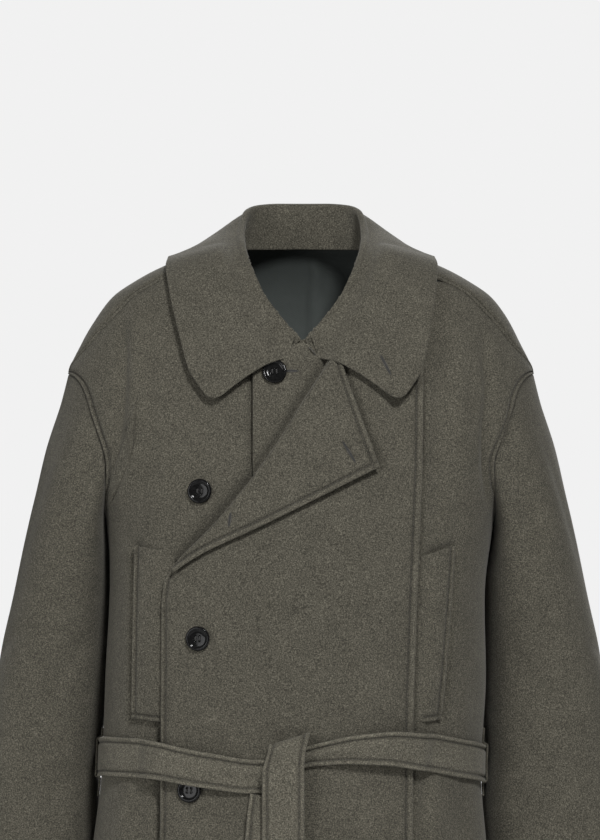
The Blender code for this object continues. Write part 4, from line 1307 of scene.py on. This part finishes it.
def make_sleeve(name, sign, look):
    """A sleeve tube from the armhole to the cuff."""
    turns = np.linspace(0.0, 2 * math.pi, SLEEVE_ROUND, endpoint=False)
    hole = armhole(np.where(turns > math.pi, turns - 2 * math.pi, turns))
    if sign < 0:
        hole = mirrored(hole)
    flush = (1 + np.cos(turns)) / 2
    seat = on_body(hole, SLEEVE_CLEAR * (1 - flush) - WOOL / 2)
    part = np.linspace(0.0, 1.0, FINE_ROWS)
    key = np.linspace(0.0, 1.0, len(SLEEVE))
    ring = {column: smooth(part, key, SLEEVE[:, k])[:, None] for k, column in enumerate(SLEEVE_COLUMNS)}
    middle = smooth(ring["inner_height"], BODY[:, 0], BODY[:, BODY_COLUMNS.index("middle")])
    outer_x = sign * ring["outer"] + (1 - part[:, None]) * SLEEVE_SHIFT
    inner_x = middle + sign * ring["inner"]
    reach = oval_reach(np.cos(turns), np.sin(turns), SLEEVE_SQUARENESS)
    out = (1 + np.cos(turns) * reach) / 2
    back = (1 - np.sin(turns) * reach) / 2
    x = inner_x + out * (outer_x - inner_x)
    y = ring["front"] + back * (ring["back"] - ring["front"])
    z = ring["inner_height"] + out * (ring["outer_height"] - ring["inner_height"])
    tube = np.stack([x, y, z], axis=-1)
    settle = 1 - ease(part / SLEEVE_SETTLE)[:, None, None]
    tube = tube - WOOL / 2 * square_to(tube, True) * sign * (1 - settle)
    tube = tube + (seat - tube[0])[None] * settle
    cap = "low"
    if sign < 0:
        tube = tube[::-1]
        cap = "high"
    turned = lay_out(tube.transpose(1, 0, 2), edge_places(WOOL, None), edge_places(WOOL, None), CLOTH_STEP)
    return cloth(name, turned.transpose(1, 0, 2), WOOL, look, tube=True, seams=(cap,))


def make_collar(look):
    """One folded collar: the stand rises from the neckline, rolls over and falls to rounded points."""
    part = np.linspace(-1.0, 1.0, COLLAR_ROWS)
    row = read(COLLAR, COLLAR_COLUMNS, np.abs(part))
    sign = np.where(part < 0, -1.0, 1.0)
    base = on_body(neckline(sign * row["neck_angle"]), 0.0)
    roll = np.stack([COLLAR_MIDDLE + sign * row["roll_x"], row["roll_y"], row["roll_z"]], axis=-1)
    edge_x = np.where(part > 0, row["edge_left"], -row["edge_right"])
    edge = np.stack([COLLAR_MIDDLE / 2 + edge_x, row["edge_y"], row["edge_z"]], axis=-1)
    out = unit((edge - roll) * np.array([1.0, 1.0, 0.0]))
    up = np.array([0.0, 0.0, 1.0])
    centre = roll - COLLAR_ROLL * up
    dropped = COLLAR_DROP * (1 - ease((np.abs(part) - COLLAR_DROP_END[0]) / COLLAR_DROP_END[1]))
    base = base - (WOOL + COLLAR_SEAM) * out + (COLLAR_SEAM - dropped)[:, None] * up
    stand_top = centre - COLLAR_ROLL * out
    columns = [base + (stand_top - base) * t for t in np.linspace(0.0, 1.0, COLLAR_STAND_STEPS)[:-1]]
    for turn in np.linspace(math.pi, 0.0, COLLAR_ROLL_STEPS):
        columns.append(centre + COLLAR_ROLL * (math.cos(turn) * out + math.sin(turn) * up))
    start = columns[-1]
    span = np.linalg.norm(edge - start, axis=-1, keepdims=True)
    lead = start + COLLAR_LEAD * (edge - start) + COLLAR_CROWN * span * (out + up)
    tail = edge - COLLAR_TAIL * (edge - start)
    front = ease((np.abs(part) - COLLAR_FRONT_START) / COLLAR_FRONT_EASE)
    clear_front = np.where(part > 0, COLLAR_CLEAR_LEFT, COLLAR_CLEAR_RIGHT)
    clear = COLLAR_CLEAR_BACK + (clear_front - COLLAR_CLEAR_BACK) * front
    shortened = 1 - tip_cut(edge) / span[:, 0]
    end_start, end_steep, end_long = COLLAR_END_SHARES
    at_end = COLLAR_END_DROP * ease((np.abs(part) - end_start) / (1 - end_start))
    for share in np.linspace(0.0, 1.0, COLLAR_FALL_STEPS + 1)[1:]:
        t = (share * shortened)[:, None]
        point = (1 - t) ** 3 * start + 3 * t * (1 - t) ** 2 * lead
        point = point + 3 * t * t * (1 - t) * tail + t ** 3 * edge
        dropping = ease(t / end_steep) * (1 - ease((t - end_steep) / end_long))
        point = point - at_end[:, None] * dropping * up
        lift, direction = body_lift(point)
        held = ease(t[:, 0] / COLLAR_FRONT_EASE)
        need = clear * ease(t[:, 0] / COLLAR_FRONT_EASE + COLLAR_FRONT_EASE) - lift
        push = (need + np.sqrt(need ** 2 + COLLAR_TOUCH ** 2)) / 2 * held
        columns.append(point + push[:, None] * direction)
    sheet = np.stack(columns, axis=1)[:, ::-1]
    sheet = sheet - WOOL / 2 * square_to(sheet)
    return cloth("collar", even(sheet, WOOL, CLOSE_STEP), WOOL, look, creased=False)


def tip_cut(edge):
    """How far the fall is shortened at each row, so that the points are round."""
    gone_by = gone(edge[:, None], 0)[:, 0]
    from_end = np.minimum(gone_by, gone_by[-1] - gone_by)
    inside = np.clip(COLLAR_TIP_ROUND - from_end, 0.0, COLLAR_TIP_ROUND)
    return COLLAR_TIP_ROUND - np.sqrt(COLLAR_TIP_ROUND ** 2 - inside ** 2)


def make_belt(look):
    """The belt's stretch round the waist, open at the knot and pinched beside it."""
    angle = np.linspace(BELT_FIRST, BELT_LAST, BELT_STEPS)
    folded = (angle + 180.0) % 360.0 - 180.0
    row = read(BELT, BELT_COLUMNS, folded)
    across = np.linspace(-0.5, 0.5, BELT_ACROSS)
    height = row["height"][None] + row["width"][None] * across[:, None]
    spots = np.stack([np.repeat(folded[None], BELT_ACROSS, axis=0), height], axis=-1)
    first, most, last = BELT_STAND_ANGLES
    rise = ease((folded - first) / (most - first)) * ease((last - folded) / (last - most))
    lift = belt_lift(spots[..., 0]) + BELT_STAND_OFF * rise[None]
    for values in BELT_PINCHES:
        pinch = dict(zip(PINCH_COLUMNS, values))
        along_belt = bell(folded - pinch["angle"], pinch["half_angle"])
        over_belt = bell(across - pinch["across"], pinch["half_across"])
        lift = lift + pinch["depth"] * over_belt[:, None] * along_belt[None]
    sewn = sewn_along(BELT_STITCH, "low", "high")
    middle = even(on_body(spots, lift + BELT_THICK / 2), BELT_THICK, CLOSE_STEP, sewn)
    return cloth("belt_waist", middle, BELT_THICK, look, sewn, creased=False)


def make_belt_end(name, table, thick, look):
    """A belt end: a band hung along the middle of its rows, with a width and a lean in each."""
    key = np.concatenate([[0.0], np.cumsum(np.hypot(np.diff(table[:, 1]), np.diff(table[:, 2])))])
    part = np.linspace(0.0, key[-1], BELT_END_ROWS)
    row = {column: smooth(part, key, table[:, number]) for number, column in enumerate(END_COLUMNS)}
    spots = spots_seen(np.stack([row["aside"], row["height"]], axis=-1))
    middle = on_body(spots, WRAP_LIFT + row["over_wrap"])
    across = np.linspace(-0.5, 0.5, BELT_ACROSS)
    sheet = np.repeat(middle[:, None], BELT_ACROSS, axis=1)
    sheet[..., 0] += row["width"][:, None] * across
    sheet[..., 2] += row["lean"][:, None] * across
    sheet = sheet[::-1]
    sheet = sheet + thick / 2 * square_to(sheet)
    sewn = sewn_along(BELT_STITCH, "near", "far", "low")
    return cloth(name, even(sheet, thick, CLOSE_STEP, sewn), thick, look, sewn, creased=False)


def make_loop(name, angle, look):
    """A belt loop on a side seam, bowed out over the belt."""
    heights = np.linspace(LOOP_LOW, LOOP_TOP, FINE_ROWS)
    waist = read(BODY, BODY_COLUMNS, (LOOP_LOW + LOOP_TOP) / 2)
    half = math.degrees(LOOP_WIDTH / 2 / waist["half_width"])
    spots = np.stack(np.meshgrid(np.linspace(angle - half, angle + half, BELT_ACROSS), heights), axis=-1)
    belt = read(BELT, BELT_COLUMNS, angle)
    below = belt["height"] - belt["width"] / 2 - heights
    above = heights - belt["height"] - belt["width"] / 2
    bend = LOOP_BEND - LOOP_EARLY
    bow = ease((LOOP_BEND - below) / bend) * ease((LOOP_BEND - above) / bend)
    high = LOOP_THICK + LOOP_CLEAR + (BELT_CLEAR + BELT_THICK + LOOP_SLACK) * bow
    middle = on_body(spots, high[:, None] - LOOP_THICK / 2 + np.zeros(spots.shape[:2]))
    return cloth(name, even(middle, LOOP_THICK, LOOP_STEP), LOOP_THICK, look, creased=False)


def surface_tree(*pieces):
    """A tree of the faces of some pieces, to find where a line of sight meets them."""
    points = []
    faces = []
    for piece in pieces:
        first = len(points)
        points.extend(vertex.co / MM for vertex in piece.data.vertices)
        faces.extend([first + number for number in face.vertices] for face in piece.data.polygons)
    return BVHTree.FromPolygons(points, faces)


def sight(tree, place):
    """Where the cloth is met at a place as seen, and the direction square to it."""
    eye = Vector((0.0, -VIEW_DISTANCE, VIEW_HEIGHT))
    toward = Vector((place[0], 0.0, place[1])) - eye
    point, square, number, distance = tree.ray_cast(eye, toward.normalized())
    return np.array(point), np.array(square)


def seat(tree, place, radius):
    """A level seat at a place: its middle, and the mean direction of the cloth round it."""
    point, square = sight(tree, place)
    turns = np.linspace(0.0, 2 * math.pi, SEAT_RAYS, endpoint=False)
    beside = [(place[0] + radius * math.cos(a), place[1] + radius * math.sin(a)) for a in turns]
    square = np.mean([square] + [sight(tree, spot)[1] for spot in beside], axis=0)
    return point, unit(square)


def seat_axes(square):
    """Two directions across a seat."""
    side = unit(np.cross(np.array([0.0, 0.0, 1.0]), square))
    return side, np.cross(square, side)


def tube_mesh(path, radius, round_steps):
    """Points and faces of a round thread along a path, closed at both ends."""
    run = unit(np.gradient(path, axis=0))
    aside = unit(np.cross(run, np.array(NOT_ALONG_THREAD)))
    over = np.cross(run, aside)
    turns = np.linspace(0.0, 2 * math.pi, round_steps, endpoint=False)[None, :, None]
    rings = path[:, None] + radius * (np.cos(turns) * aside[:, None] + np.sin(turns) * over[:, None])
    numbers = np.arange(rings.shape[0] * round_steps).reshape(-1, round_steps)
    faces = grid_faces(numbers, tube=True).tolist()
    faces = [face[::-1] for face in faces]
    faces.append(numbers[0].tolist())
    faces.append(numbers[-1][::-1].tolist())
    return rings.reshape(-1, 3), faces


def join_parts(parts):
    """Points and faces of several small meshes as one."""
    points = []
    faces = []
    for part_points, part_faces in parts:
        first = sum(len(some) for some in points)
        points.append(np.asarray(part_points))
        faces.extend([number + first for number in face] for face in part_faces)
    return np.concatenate(points), faces


def make_button(name, tree, place, look, thread_look):
    """A turned button with a raised rim and four thread holes, and the thread that holds it."""
    middle, out = seat(tree, place, BUTTON_RADIUS)
    middle = middle + BUTTON_CLEAR * out
    side, up = seat_axes(out)
    run = np.diff(BUTTON_SECTION, axis=0) * (BUTTON_RADIUS, 1.0)
    length = np.concatenate([[0.0], np.cumsum(np.hypot(*run.T))])
    dish = length[BUTTON_DISH_ROW]
    inner_part = np.linspace(0.0, dish, BUTTON_INNER_RINGS, endpoint=False)[1:]
    outer_part = np.linspace(dish, length[-1], BUTTON_RINGS)[:-1]
    places = np.concatenate([inner_part, outer_part])
    radius = BUTTON_RADIUS * smooth(places, length, BUTTON_SECTION[:, 0])
    height = smooth(places, length, BUTTON_SECTION[:, 1])
    turns = np.linspace(0.0, 2 * math.pi, BUTTON_ROUND, endpoint=False)
    x = radius[:, None] * np.cos(turns)
    z = radius[:, None] * np.sin(turns)
    holes = [(HOLE_PLACE * a, HOLE_PLACE * b) for a in (-1, 1) for b in (-1, 1)]
    away = np.min([np.hypot(x - a, z - b) for a, b in holes], axis=0)
    top = (np.arange(len(places)) < len(inner_part))[:, None]
    rise = height[:, None] - top * HOLE_DEPTH * ease((HOLE_RADIUS - away) / HOLE_SOFT + HOLE_EDGE)
    rings = middle + x[..., None] * side + z[..., None] * up + rise[..., None] * out
    numbers = np.arange(rings.shape[0] * BUTTON_ROUND).reshape(-1, BUTTON_ROUND)
    faces = grid_faces(numbers, tube=True)[:, ::-1].tolist()
    first_pole = numbers.size
    ahead = np.roll(numbers, -1, axis=1)
    faces += [[first_pole, a, b] for a, b in zip(numbers[0], ahead[0])]
    faces += [[first_pole + 1, b, a] for a, b in zip(numbers[-1], ahead[-1])]
    poles = np.stack([middle + BUTTON_SECTION[0, 1] * out, middle])
    button = mesh_from(name + "_turned", np.concatenate([rings.reshape(-1, 3), poles]), faces, look)
    bars = []
    for a in (-1, 1):
        over = np.linspace(-1.0, 1.0, THREAD_STEPS)[:, None]
        bow = (1 - over ** 4) * (THREAD_RISE + HOLE_DEPTH) + BUTTON_SECTION[0, 1] - HOLE_DEPTH
        for twin in (-THREAD_RADIUS, THREAD_RADIUS):
            sideways = a * HOLE_PLACE + twin
            path = middle + sideways * side + over * HOLE_PLACE * up + bow * out
            bars.append(tube_mesh(path, THREAD_RADIUS, THREAD_ROUND))
    thread = mesh_from(name + "_thread", *join_parts(bars), thread_look)
    return button, thread


def make_buttonhole(name, tree, start, end, look, painted_slit_look):
    """A worked buttonhole: a beaded rim of thread round a dark sheet of painted shade in its cut opening.
    """
    start = np.array(start, float)
    end = np.array(end, float)
    run = (end - start) / np.linalg.norm(end - start)
    across = np.array([-run[1], run[0]])
    half = np.linalg.norm(end - start) / 2
    turns = np.linspace(0.0, 2 * math.pi, BUTTONHOLE_STEPS, endpoint=False)
    places = [
        (start + end) / 2
        + run * math.copysign(abs(math.cos(a)) ** BUTTONHOLE_SQUARE, math.cos(a)) * half
        + across * math.sin(a) * BUTTONHOLE_HALF_WIDTH
        for a in turns
    ]
    met = [sight(tree, place) for place in places]
    ring = np.array([point for point, square in met])
    square = unit(np.mean([direction for point, direction in met], axis=0))
    round_turns = np.linspace(0.0, 2 * math.pi, BUTTONHOLE_ROUND, endpoint=False)
    outward = ring - ring.mean(axis=0)
    outward = unit(outward - (outward @ square)[:, None] * square)
    bead = BUTTONHOLE_RIM * (1 + BUTTONHOLE_BEAD * np.cos(turns * BUTTONHOLE_BEADS))[:, None, None]
    rim = ring[:, None] + bead * (
        np.cos(round_turns)[None, :, None] * outward[:, None] + np.sin(round_turns)[None, :, None] * square
    )
    numbers = np.arange(BUTTONHOLE_STEPS * BUTTONHOLE_ROUND).reshape(BUTTONHOLE_STEPS, BUTTONHOLE_ROUND)
    numbers = np.concatenate([numbers, numbers[:1]])
    rim_faces = grid_faces(numbers, tube=True)[:, ::-1].tolist()
    worked = mesh_from(name, rim.reshape(-1, 3), rim_faces, look)
    # A dark sheet just over the cloth inside the rim: painted shade in the cut opening
    painted_slit_points = np.concatenate([ring + PAINTED_SLIT_RISE * square, [ring.mean(axis=0) + PAINTED_SLIT_RISE * square]])
    last = BUTTONHOLE_STEPS
    painted_slit_faces = [[last, number, (number + 1) % last] for number in range(last)]
    flat = np.cross(painted_slit_points[1] - painted_slit_points[0], painted_slit_points[last] - painted_slit_points[0])
    if flat @ square < 0:
        painted_slit_faces = [face[::-1] for face in painted_slit_faces]
    painted_slit_shade = mesh_from(name + "_painted_slit_shade", painted_slit_points, painted_slit_faces, painted_slit_look)
    return worked, painted_slit_shade


def make_thread_eye(tree, look):
    """A small thread eye for a hook, sewn beside the meeting collar ends."""
    start, out = sight(tree, EYE_START)
    end, out_end = sight(tree, EYE_END)
    t = np.linspace(0.0, 1.0, THREAD_STEPS)[:, None]
    path = start * (1 - t) + end * t + EYE_RISE * np.sin(math.pi * t) * out
    return mesh_from("thread_eye", *tube_mesh(path, EYE_RADIUS, THREAD_ROUND), look)


def stitching_tree(look):
    """Stitches laid end to end along paths."""
    tree = bpy.data.node_groups.new("stitching", "GeometryNodeTree")
    sockets = tree.interface
    sockets.new_socket("Paths", in_out="INPUT", socket_type="NodeSocketGeometry")
    pitch = sockets.new_socket("Pitch", in_out="INPUT", socket_type="NodeSocketFloat")
    length = sockets.new_socket("Length", in_out="INPUT", socket_type="NodeSocketFloat")
    radius = sockets.new_socket("Radius", in_out="INPUT", socket_type="NodeSocketFloat")
    sockets.new_socket("Stitches", in_out="OUTPUT", socket_type="NodeSocketGeometry")
    nodes = tree.nodes
    link = tree.links.new
    given = nodes.new("NodeGroupInput")
    curve = nodes.new("GeometryNodeMeshToCurve")
    spaced = nodes.new("GeometryNodeCurveToPoints")
    spaced.mode = "LENGTH"
    thread = nodes.new("GeometryNodeMeshUVSphere")
    thread.inputs["Segments"].default_value = STITCH_SIDES
    thread.inputs["Rings"].default_value = STITCH_RINGS
    size = nodes.new("ShaderNodeCombineXYZ")
    halved = nodes.new("ShaderNodeMath")
    halved.operation = "MULTIPLY"
    halved.inputs[1].default_value = 0.5
    shaped = nodes.new("GeometryNodeTransform")
    turned = nodes.new("FunctionNodeAlignRotationToVector")
    turned.axis = "Z"
    uneven = nodes.new("FunctionNodeRandomValue")
    uneven.data_type = "FLOAT"
    uneven.inputs[2].default_value = STITCH_SIZES[0]
    uneven.inputs[3].default_value = STITCH_SIZES[1]
    uneven.inputs["Seed"].default_value = STITCH_SEED
    placed = nodes.new("GeometryNodeInstanceOnPoints")
    real = nodes.new("GeometryNodeRealizeInstances")
    shaded = nodes.new("GeometryNodeSetShadeSmooth")
    painted = nodes.new("GeometryNodeSetMaterial")
    painted.inputs["Material"].default_value = look
    result = nodes.new("NodeGroupOutput")
    link(given.outputs["Paths"], curve.inputs["Mesh"])
    link(curve.outputs["Curve"], spaced.inputs["Curve"])
    link(given.outputs["Pitch"], spaced.inputs["Length"])
    link(given.outputs["Radius"], size.inputs["X"])
    link(given.outputs["Radius"], size.inputs["Y"])
    link(given.outputs["Length"], halved.inputs[0])
    link(halved.outputs["Value"], size.inputs["Z"])
    link(thread.outputs["Mesh"], shaped.inputs["Geometry"])
    link(size.outputs["Vector"], shaped.inputs["Scale"])
    link(spaced.outputs["Tangent"], turned.inputs["Vector"])
    link(spaced.outputs["Points"], placed.inputs["Points"])
    link(shaped.outputs["Geometry"], placed.inputs["Instance"])
    link(turned.outputs["Rotation"], placed.inputs["Rotation"])
    link(uneven.outputs[1], placed.inputs["Scale"])
    link(placed.outputs["Instances"], real.inputs["Geometry"])
    link(real.outputs["Geometry"], shaded.inputs["Geometry"])
    link(shaded.outputs["Geometry"], painted.inputs["Geometry"])
    link(painted.outputs["Geometry"], result.inputs["Stitches"])
    return tree, {"pitch": pitch.identifier, "length": length.identifier, "radius": radius.identifier}


def make_stitches(look):
    """All stitch lines of the coat as one piece."""
    points = []
    edges = []
    for line in STITCH_LINES:
        first = len(points)
        points.extend((line * MM).tolist())
        edges.extend((first + number, first + number + 1) for number in range(len(line) - 1))
    mesh = bpy.data.meshes.new("stitch_paths")
    mesh.from_pydata(points, edges, [])
    paths = put_in_scene("stitch_paths", mesh)
    tree, names = stitching_tree(look)
    sewing = paths.modifiers.new("sewing", "NODES")
    sewing.node_group = tree
    sewing[names["pitch"]] = STITCH_PITCH * MM
    sewing[names["length"]] = STITCH_LENGTH * MM
    sewing[names["radius"]] = STITCH_RADIUS * MM
    seen = bpy.context.evaluated_depsgraph_get()
    finished = bpy.data.meshes.new_from_object(paths.evaluated_get(seen))
    finished.name = "stitches"
    bpy.data.objects.remove(paths)
    return put_in_scene("stitches", finished)


def new_look(name):
    """An empty procedural material: its nodes, its links and its shader."""
    made = bpy.data.materials.new(name)
    made.use_nodes = True
    nodes = made.node_tree.nodes
    return made, nodes, made.node_tree.links.new, nodes["Principled BSDF"]


def fill_in(node, values):
    """Set the sockets of a node that are named."""
    for socket, value in values.items():
        node.inputs[socket].default_value = value


def grain(nodes, link, size, stretch=(1.0, 1.0, 1.0), turn=(0.0, 0.0, 0.0)):
    """Noise at a real size, in the coat's own coordinates."""
    place = nodes.new("ShaderNodeTexCoord")
    mapping = nodes.new("ShaderNodeMapping")
    fill_in(mapping, {"Scale": stretch, "Rotation": turn})
    noise = nodes.new("ShaderNodeTexNoise")
    fill_in(noise, {**size, "Roughness": GRAIN_ROUGHNESS})
    link(place.outputs["Object"], mapping.inputs["Vector"])
    link(mapping.outputs["Vector"], noise.inputs["Vector"])
    return noise.outputs["Fac"]


def blend(nodes, link, first, second, share):
    """Two grains mixed by a share."""
    mixed = nodes.new("ShaderNodeMix")
    mixed.data_type = "FLOAT"
    mixed.inputs["Factor"].default_value = share
    link(first, mixed.inputs["A"])
    link(second, mixed.inputs["B"])
    return mixed.outputs["Result"]


def shades(nodes, link, value, stops):
    """Colours along a grain, as places and colours."""
    ramp = nodes.new("ShaderNodeValToRGB")
    elements = ramp.color_ramp.elements
    while len(elements) < len(stops):
        elements.new(0.5)
    for element, (place, colour) in zip(elements, stops):
        element.position = place
        element.color = (*colour, 1.0)
    link(value, ramp.inputs["Fac"])
    return ramp.outputs["Color"]


def raised(nodes, link, value, relief, shader):
    """Small relief from a grain."""
    bump = nodes.new("ShaderNodeBump")
    fill_in(bump, dict(zip(("Strength", "Distance"), relief)))
    link(value, bump.inputs["Height"])
    link(bump.outputs["Normal"], shader.inputs["Normal"])


def painted_groove_and_rim_colour(nodes, link, colour):
    """A colour darkened by painted shade along stitch grooves and seams and lightened by painted highlight
    on rims.
    """
    scaled = nodes.new("ShaderNodeVectorMath")
    scaled.operation = "SCALE"
    link(colour, scaled.inputs["Vector"])
    before = None
    for name, amount in PAINTED_GROOVE_AND_RIM_LIGHT.items():
        marked = nodes.new("ShaderNodeAttribute")
        marked.attribute_name = name
        share = nodes.new("ShaderNodeMath")
        share.operation = "MULTIPLY_ADD"
        share.inputs[1].default_value = amount
        share.inputs[2].default_value = 1.0
        link(marked.outputs["Fac"], share.inputs[0])
        if before is not None:
            link(before, share.inputs[2])
        before = share.outputs["Value"]
    link(before, scaled.inputs["Scale"])
    return scaled.outputs["Vector"]


def felted_wool(name, tint):
    """Felted wool with a short nap: dark and light fibres in a soft cloudy ground."""
    made, nodes, link, shader = new_look(name)
    flecks = grain(nodes, link, FLECKS)
    fibres = grain(nodes, link, FIBRES, FIBRE_STRETCH, FIBRE_TURN)
    crossed = grain(nodes, link, FIBRES, CROSSED_STRETCH, CROSSED_TURN)
    clouds = grain(nodes, link, CLOUDS)
    fibre = blend(nodes, link, fibres, crossed, CROSSED_SHARE)
    mixed = blend(nodes, link, flecks, fibre, FIBRE_SHARE)
    ground = blend(nodes, link, mixed, clouds, CLOUD_SHARE)
    stops = [(place, [share * part for part in tint]) for place, share in WOOL_SHADES]
    # Painted shade in stitch grooves and seams, and painted highlight on rims, laid over the wool colour
    colour = painted_groove_and_rim_colour(nodes, link, shades(nodes, link, ground, stops))
    link(colour, shader.inputs["Base Color"])
    fill_in(shader, WOOL_FINISH)
    raised(nodes, link, mixed, WOOL_RELIEF, shader)
    return made


def twill_lining():
    """Smooth lining with a fine slanted twill line."""
    made, nodes, link, shader = new_look("lining_twill")
    place = nodes.new("ShaderNodeTexCoord")
    slant = nodes.new("ShaderNodeMapping")
    slant.inputs["Rotation"].default_value = (0.0, math.radians(TWILL_SLANT), 0.0)
    lines = nodes.new("ShaderNodeTexWave")
    lines.bands_direction = "X"
    fill_in(lines, TWILL)
    link(place.outputs["Object"], slant.inputs["Vector"])
    link(slant.outputs["Vector"], lines.inputs["Vector"])
    cloudy = grain(nodes, link, CLOUDS)
    mixed = blend(nodes, link, lines.outputs["Fac"], cloudy, LINING_CLOUD_SHARE)
    link(shades(nodes, link, mixed, LINING_SHADES), shader.inputs["Base Color"])
    fill_in(shader, LINING_FINISH)
    raised(nodes, link, lines.outputs["Fac"], LINING_RELIEF, shader)
    return made


def polished_button():
    """Near-black polished button with faint clouding and fine wear."""
    made, nodes, link, shader = new_look("button_polished")
    clouds = grain(nodes, link, BUTTON_CLOUDS, BUTTON_STRETCH)
    link(shades(nodes, link, clouds, BUTTON_SHADES), shader.inputs["Base Color"])
    wear = grain(nodes, link, BUTTON_WEAR)
    rough = nodes.new("ShaderNodeMapRange")
    fill_in(rough, BUTTON_ROUGHNESS)
    link(wear, rough.inputs["Value"])
    link(rough.outputs["Result"], shader.inputs["Roughness"])
    fill_in(shader, BUTTON_FINISH)
    return made


def plied_thread(name, stops):
    """Sewing thread with a faint ply."""
    made, nodes, link, shader = new_look(name)
    ply = grain(nodes, link, THREAD_PLY)
    link(shades(nodes, link, ply, stops), shader.inputs["Base Color"])
    fill_in(shader, THREAD_FINISH)
    raised(nodes, link, ply, THREAD_RELIEF, shader)
    return made


def pale_floor():
    """A plain pale floor below the coat."""
    made, nodes, link, shader = new_look("floor_pale")
    tone = grain(nodes, link, FLOOR_TONES)
    link(shades(nodes, link, tone, FLOOR_SHADES), shader.inputs["Base Color"])
    fill_in(shader, FLOOR_FINISH)
    half = FLOOR_HALF
    points = [(-half, -half, FLOOR_HEIGHT), (half, -half, FLOOR_HEIGHT)]
    points += [(half, half, FLOOR_HEIGHT), (-half, half, FLOOR_HEIGHT)]
    return mesh_from("floor", points, [[0, 1, 2, 3]], made)


def studio():
    """Soft even light from the front and above, a pale surround and the camera of the photo."""
    world = bpy.data.worlds.new("pale_surround")
    bpy.context.scene.world = world
    world.use_nodes = True
    nodes = world.node_tree.nodes
    link = world.node_tree.links.new
    output = nodes["World Output"]
    glow = nodes["Background"]
    glow.inputs["Color"].default_value = (1.0, 1.0, 1.0, 1.0)
    glow.inputs["Strength"].default_value = SURROUND_LIGHT
    backdrop = nodes.new("ShaderNodeBackground")
    backdrop.inputs["Color"].default_value = (*BACKDROP, 1.0)
    path = nodes.new("ShaderNodeLightPath")
    chosen = nodes.new("ShaderNodeMixShader")
    link(path.outputs["Is Camera Ray"], chosen.inputs["Fac"])
    link(glow.outputs["Background"], chosen.inputs[1])
    link(backdrop.outputs["Background"], chosen.inputs[2])
    link(chosen.outputs["Shader"], output.inputs["Surface"])
    for name, (place, aim, size, power) in LIGHTS.items():
        lamp = bpy.data.lights.new(name, "AREA")
        lamp.shape = "RECTANGLE"
        lamp.size = size[0]
        lamp.size_y = size[1]
        lamp.energy = power
        made = put_in_scene(name, lamp)
        made.location = place
        made.rotation_euler = (Vector(aim) - Vector(place)).to_track_quat("-Z", "Y").to_euler()
    lens = bpy.data.cameras.new("camera")
    lens.sensor_fit = "VERTICAL"
    lens.sensor_height = CAMERA_SENSOR
    lens.lens = CAMERA_SENSOR / PICTURE_HEIGHT * VIEW_DISTANCE
    camera = put_in_scene("camera", lens)
    camera.location = (0.0, -VIEW_DISTANCE * MM, VIEW_HEIGHT * MM)
    camera.rotation_euler = (math.pi / 2, 0.0, 0.0)
    bpy.context.scene.camera = camera
    bpy.context.scene.view_settings.view_transform = "Standard"


def dress():
    """Make every piece of the coat, attach it to the body and hide the part it stands in for."""
    wool = felted_wool("wool_felted", WOOL_TINT)
    # Lighter copy of the wool for the belt: partly painted light, partly its smoother nap
    lit_smoother_belt_wool = felted_wool("wool_belt_lit_and_smoother", [BELT_LIT_AND_SMOOTHER * part for part in WOOL_TINT])
    lining = twill_lining()
    polished = polished_button()
    thread = plied_thread("thread_wool", THREAD_SHADES)
    dark_thread_and_slit_shade = plied_thread("thread_dark_and_slit_shade", DARK_THREAD_AND_SLIT_SHADE_COLOURS)
    pieces = {
        "back": make_back(wool),
        "lining_back": make_lining(lining),
        "side_left": make_side_left(wool),
        "front_right": make_front_right(wool),
        "inner_placket": make_placket(wool),
        "front_left": make_wrap(wool),
        "lapel": make_lapel(wool),
        "welt_left": make_welt("welt_left", WELT_LEFT, wool),
        "welt_right": make_welt("welt_right", WELT_RIGHT, wool),
        "sleeve_left": make_sleeve("sleeve_left", 1, wool),
        "sleeve_right": make_sleeve("sleeve_right", -1, wool),
        "collar": make_collar(wool),
        "belt_waist": make_belt(lit_smoother_belt_wool),
        "belt_knot": make_belt_end("belt_knot", FRONT_END, FRONT_END_THICK, lit_smoother_belt_wool),
        "belt_end": make_belt_end("belt_end", BEHIND_END, BELT_THICK, lit_smoother_belt_wool),
        "belt_loop_left": make_loop("belt_loop_left", LOOP_SIDE, wool),
        "belt_loop_right": make_loop("belt_loop_right", -LOOP_SIDE, wool),
    }
    for name, piece in pieces.items():
        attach(piece, BODY_NAME)
        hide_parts(name)
    carriers = ("front_right", "inner_placket", "front_left", "lapel", "collar")
    carried = {name: surface_tree(pieces[name]) for name in carriers}
    for name, place in BUTTONS.items():
        button, held_by = make_button(name, carried[BUTTON_ON[name]], place, polished, dark_thread_and_slit_shade)
        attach(button, BODY_NAME)
        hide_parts(name)
        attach(held_by, BODY_NAME)
    # Buttonhole rims in wool thread round dark sheets of painted shade
    for name, (start, end, on) in BUTTONHOLES.items():
        for piece in make_buttonhole(name, carried[on], start, end, thread, dark_thread_and_slit_shade):
            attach(piece, BODY_NAME)
    round_neck = ("collar", "inner_placket", "front_right", "front_left")
    neck = surface_tree(*[pieces[name] for name in round_neck])
    for piece in (make_stitches(thread), make_thread_eye(neck, thread)):
        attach(piece, BODY_NAME)


# Filled in as the cloth is made: paths of the stitch lines
STITCH_LINES = []

pale_floor()
studio()
dress()
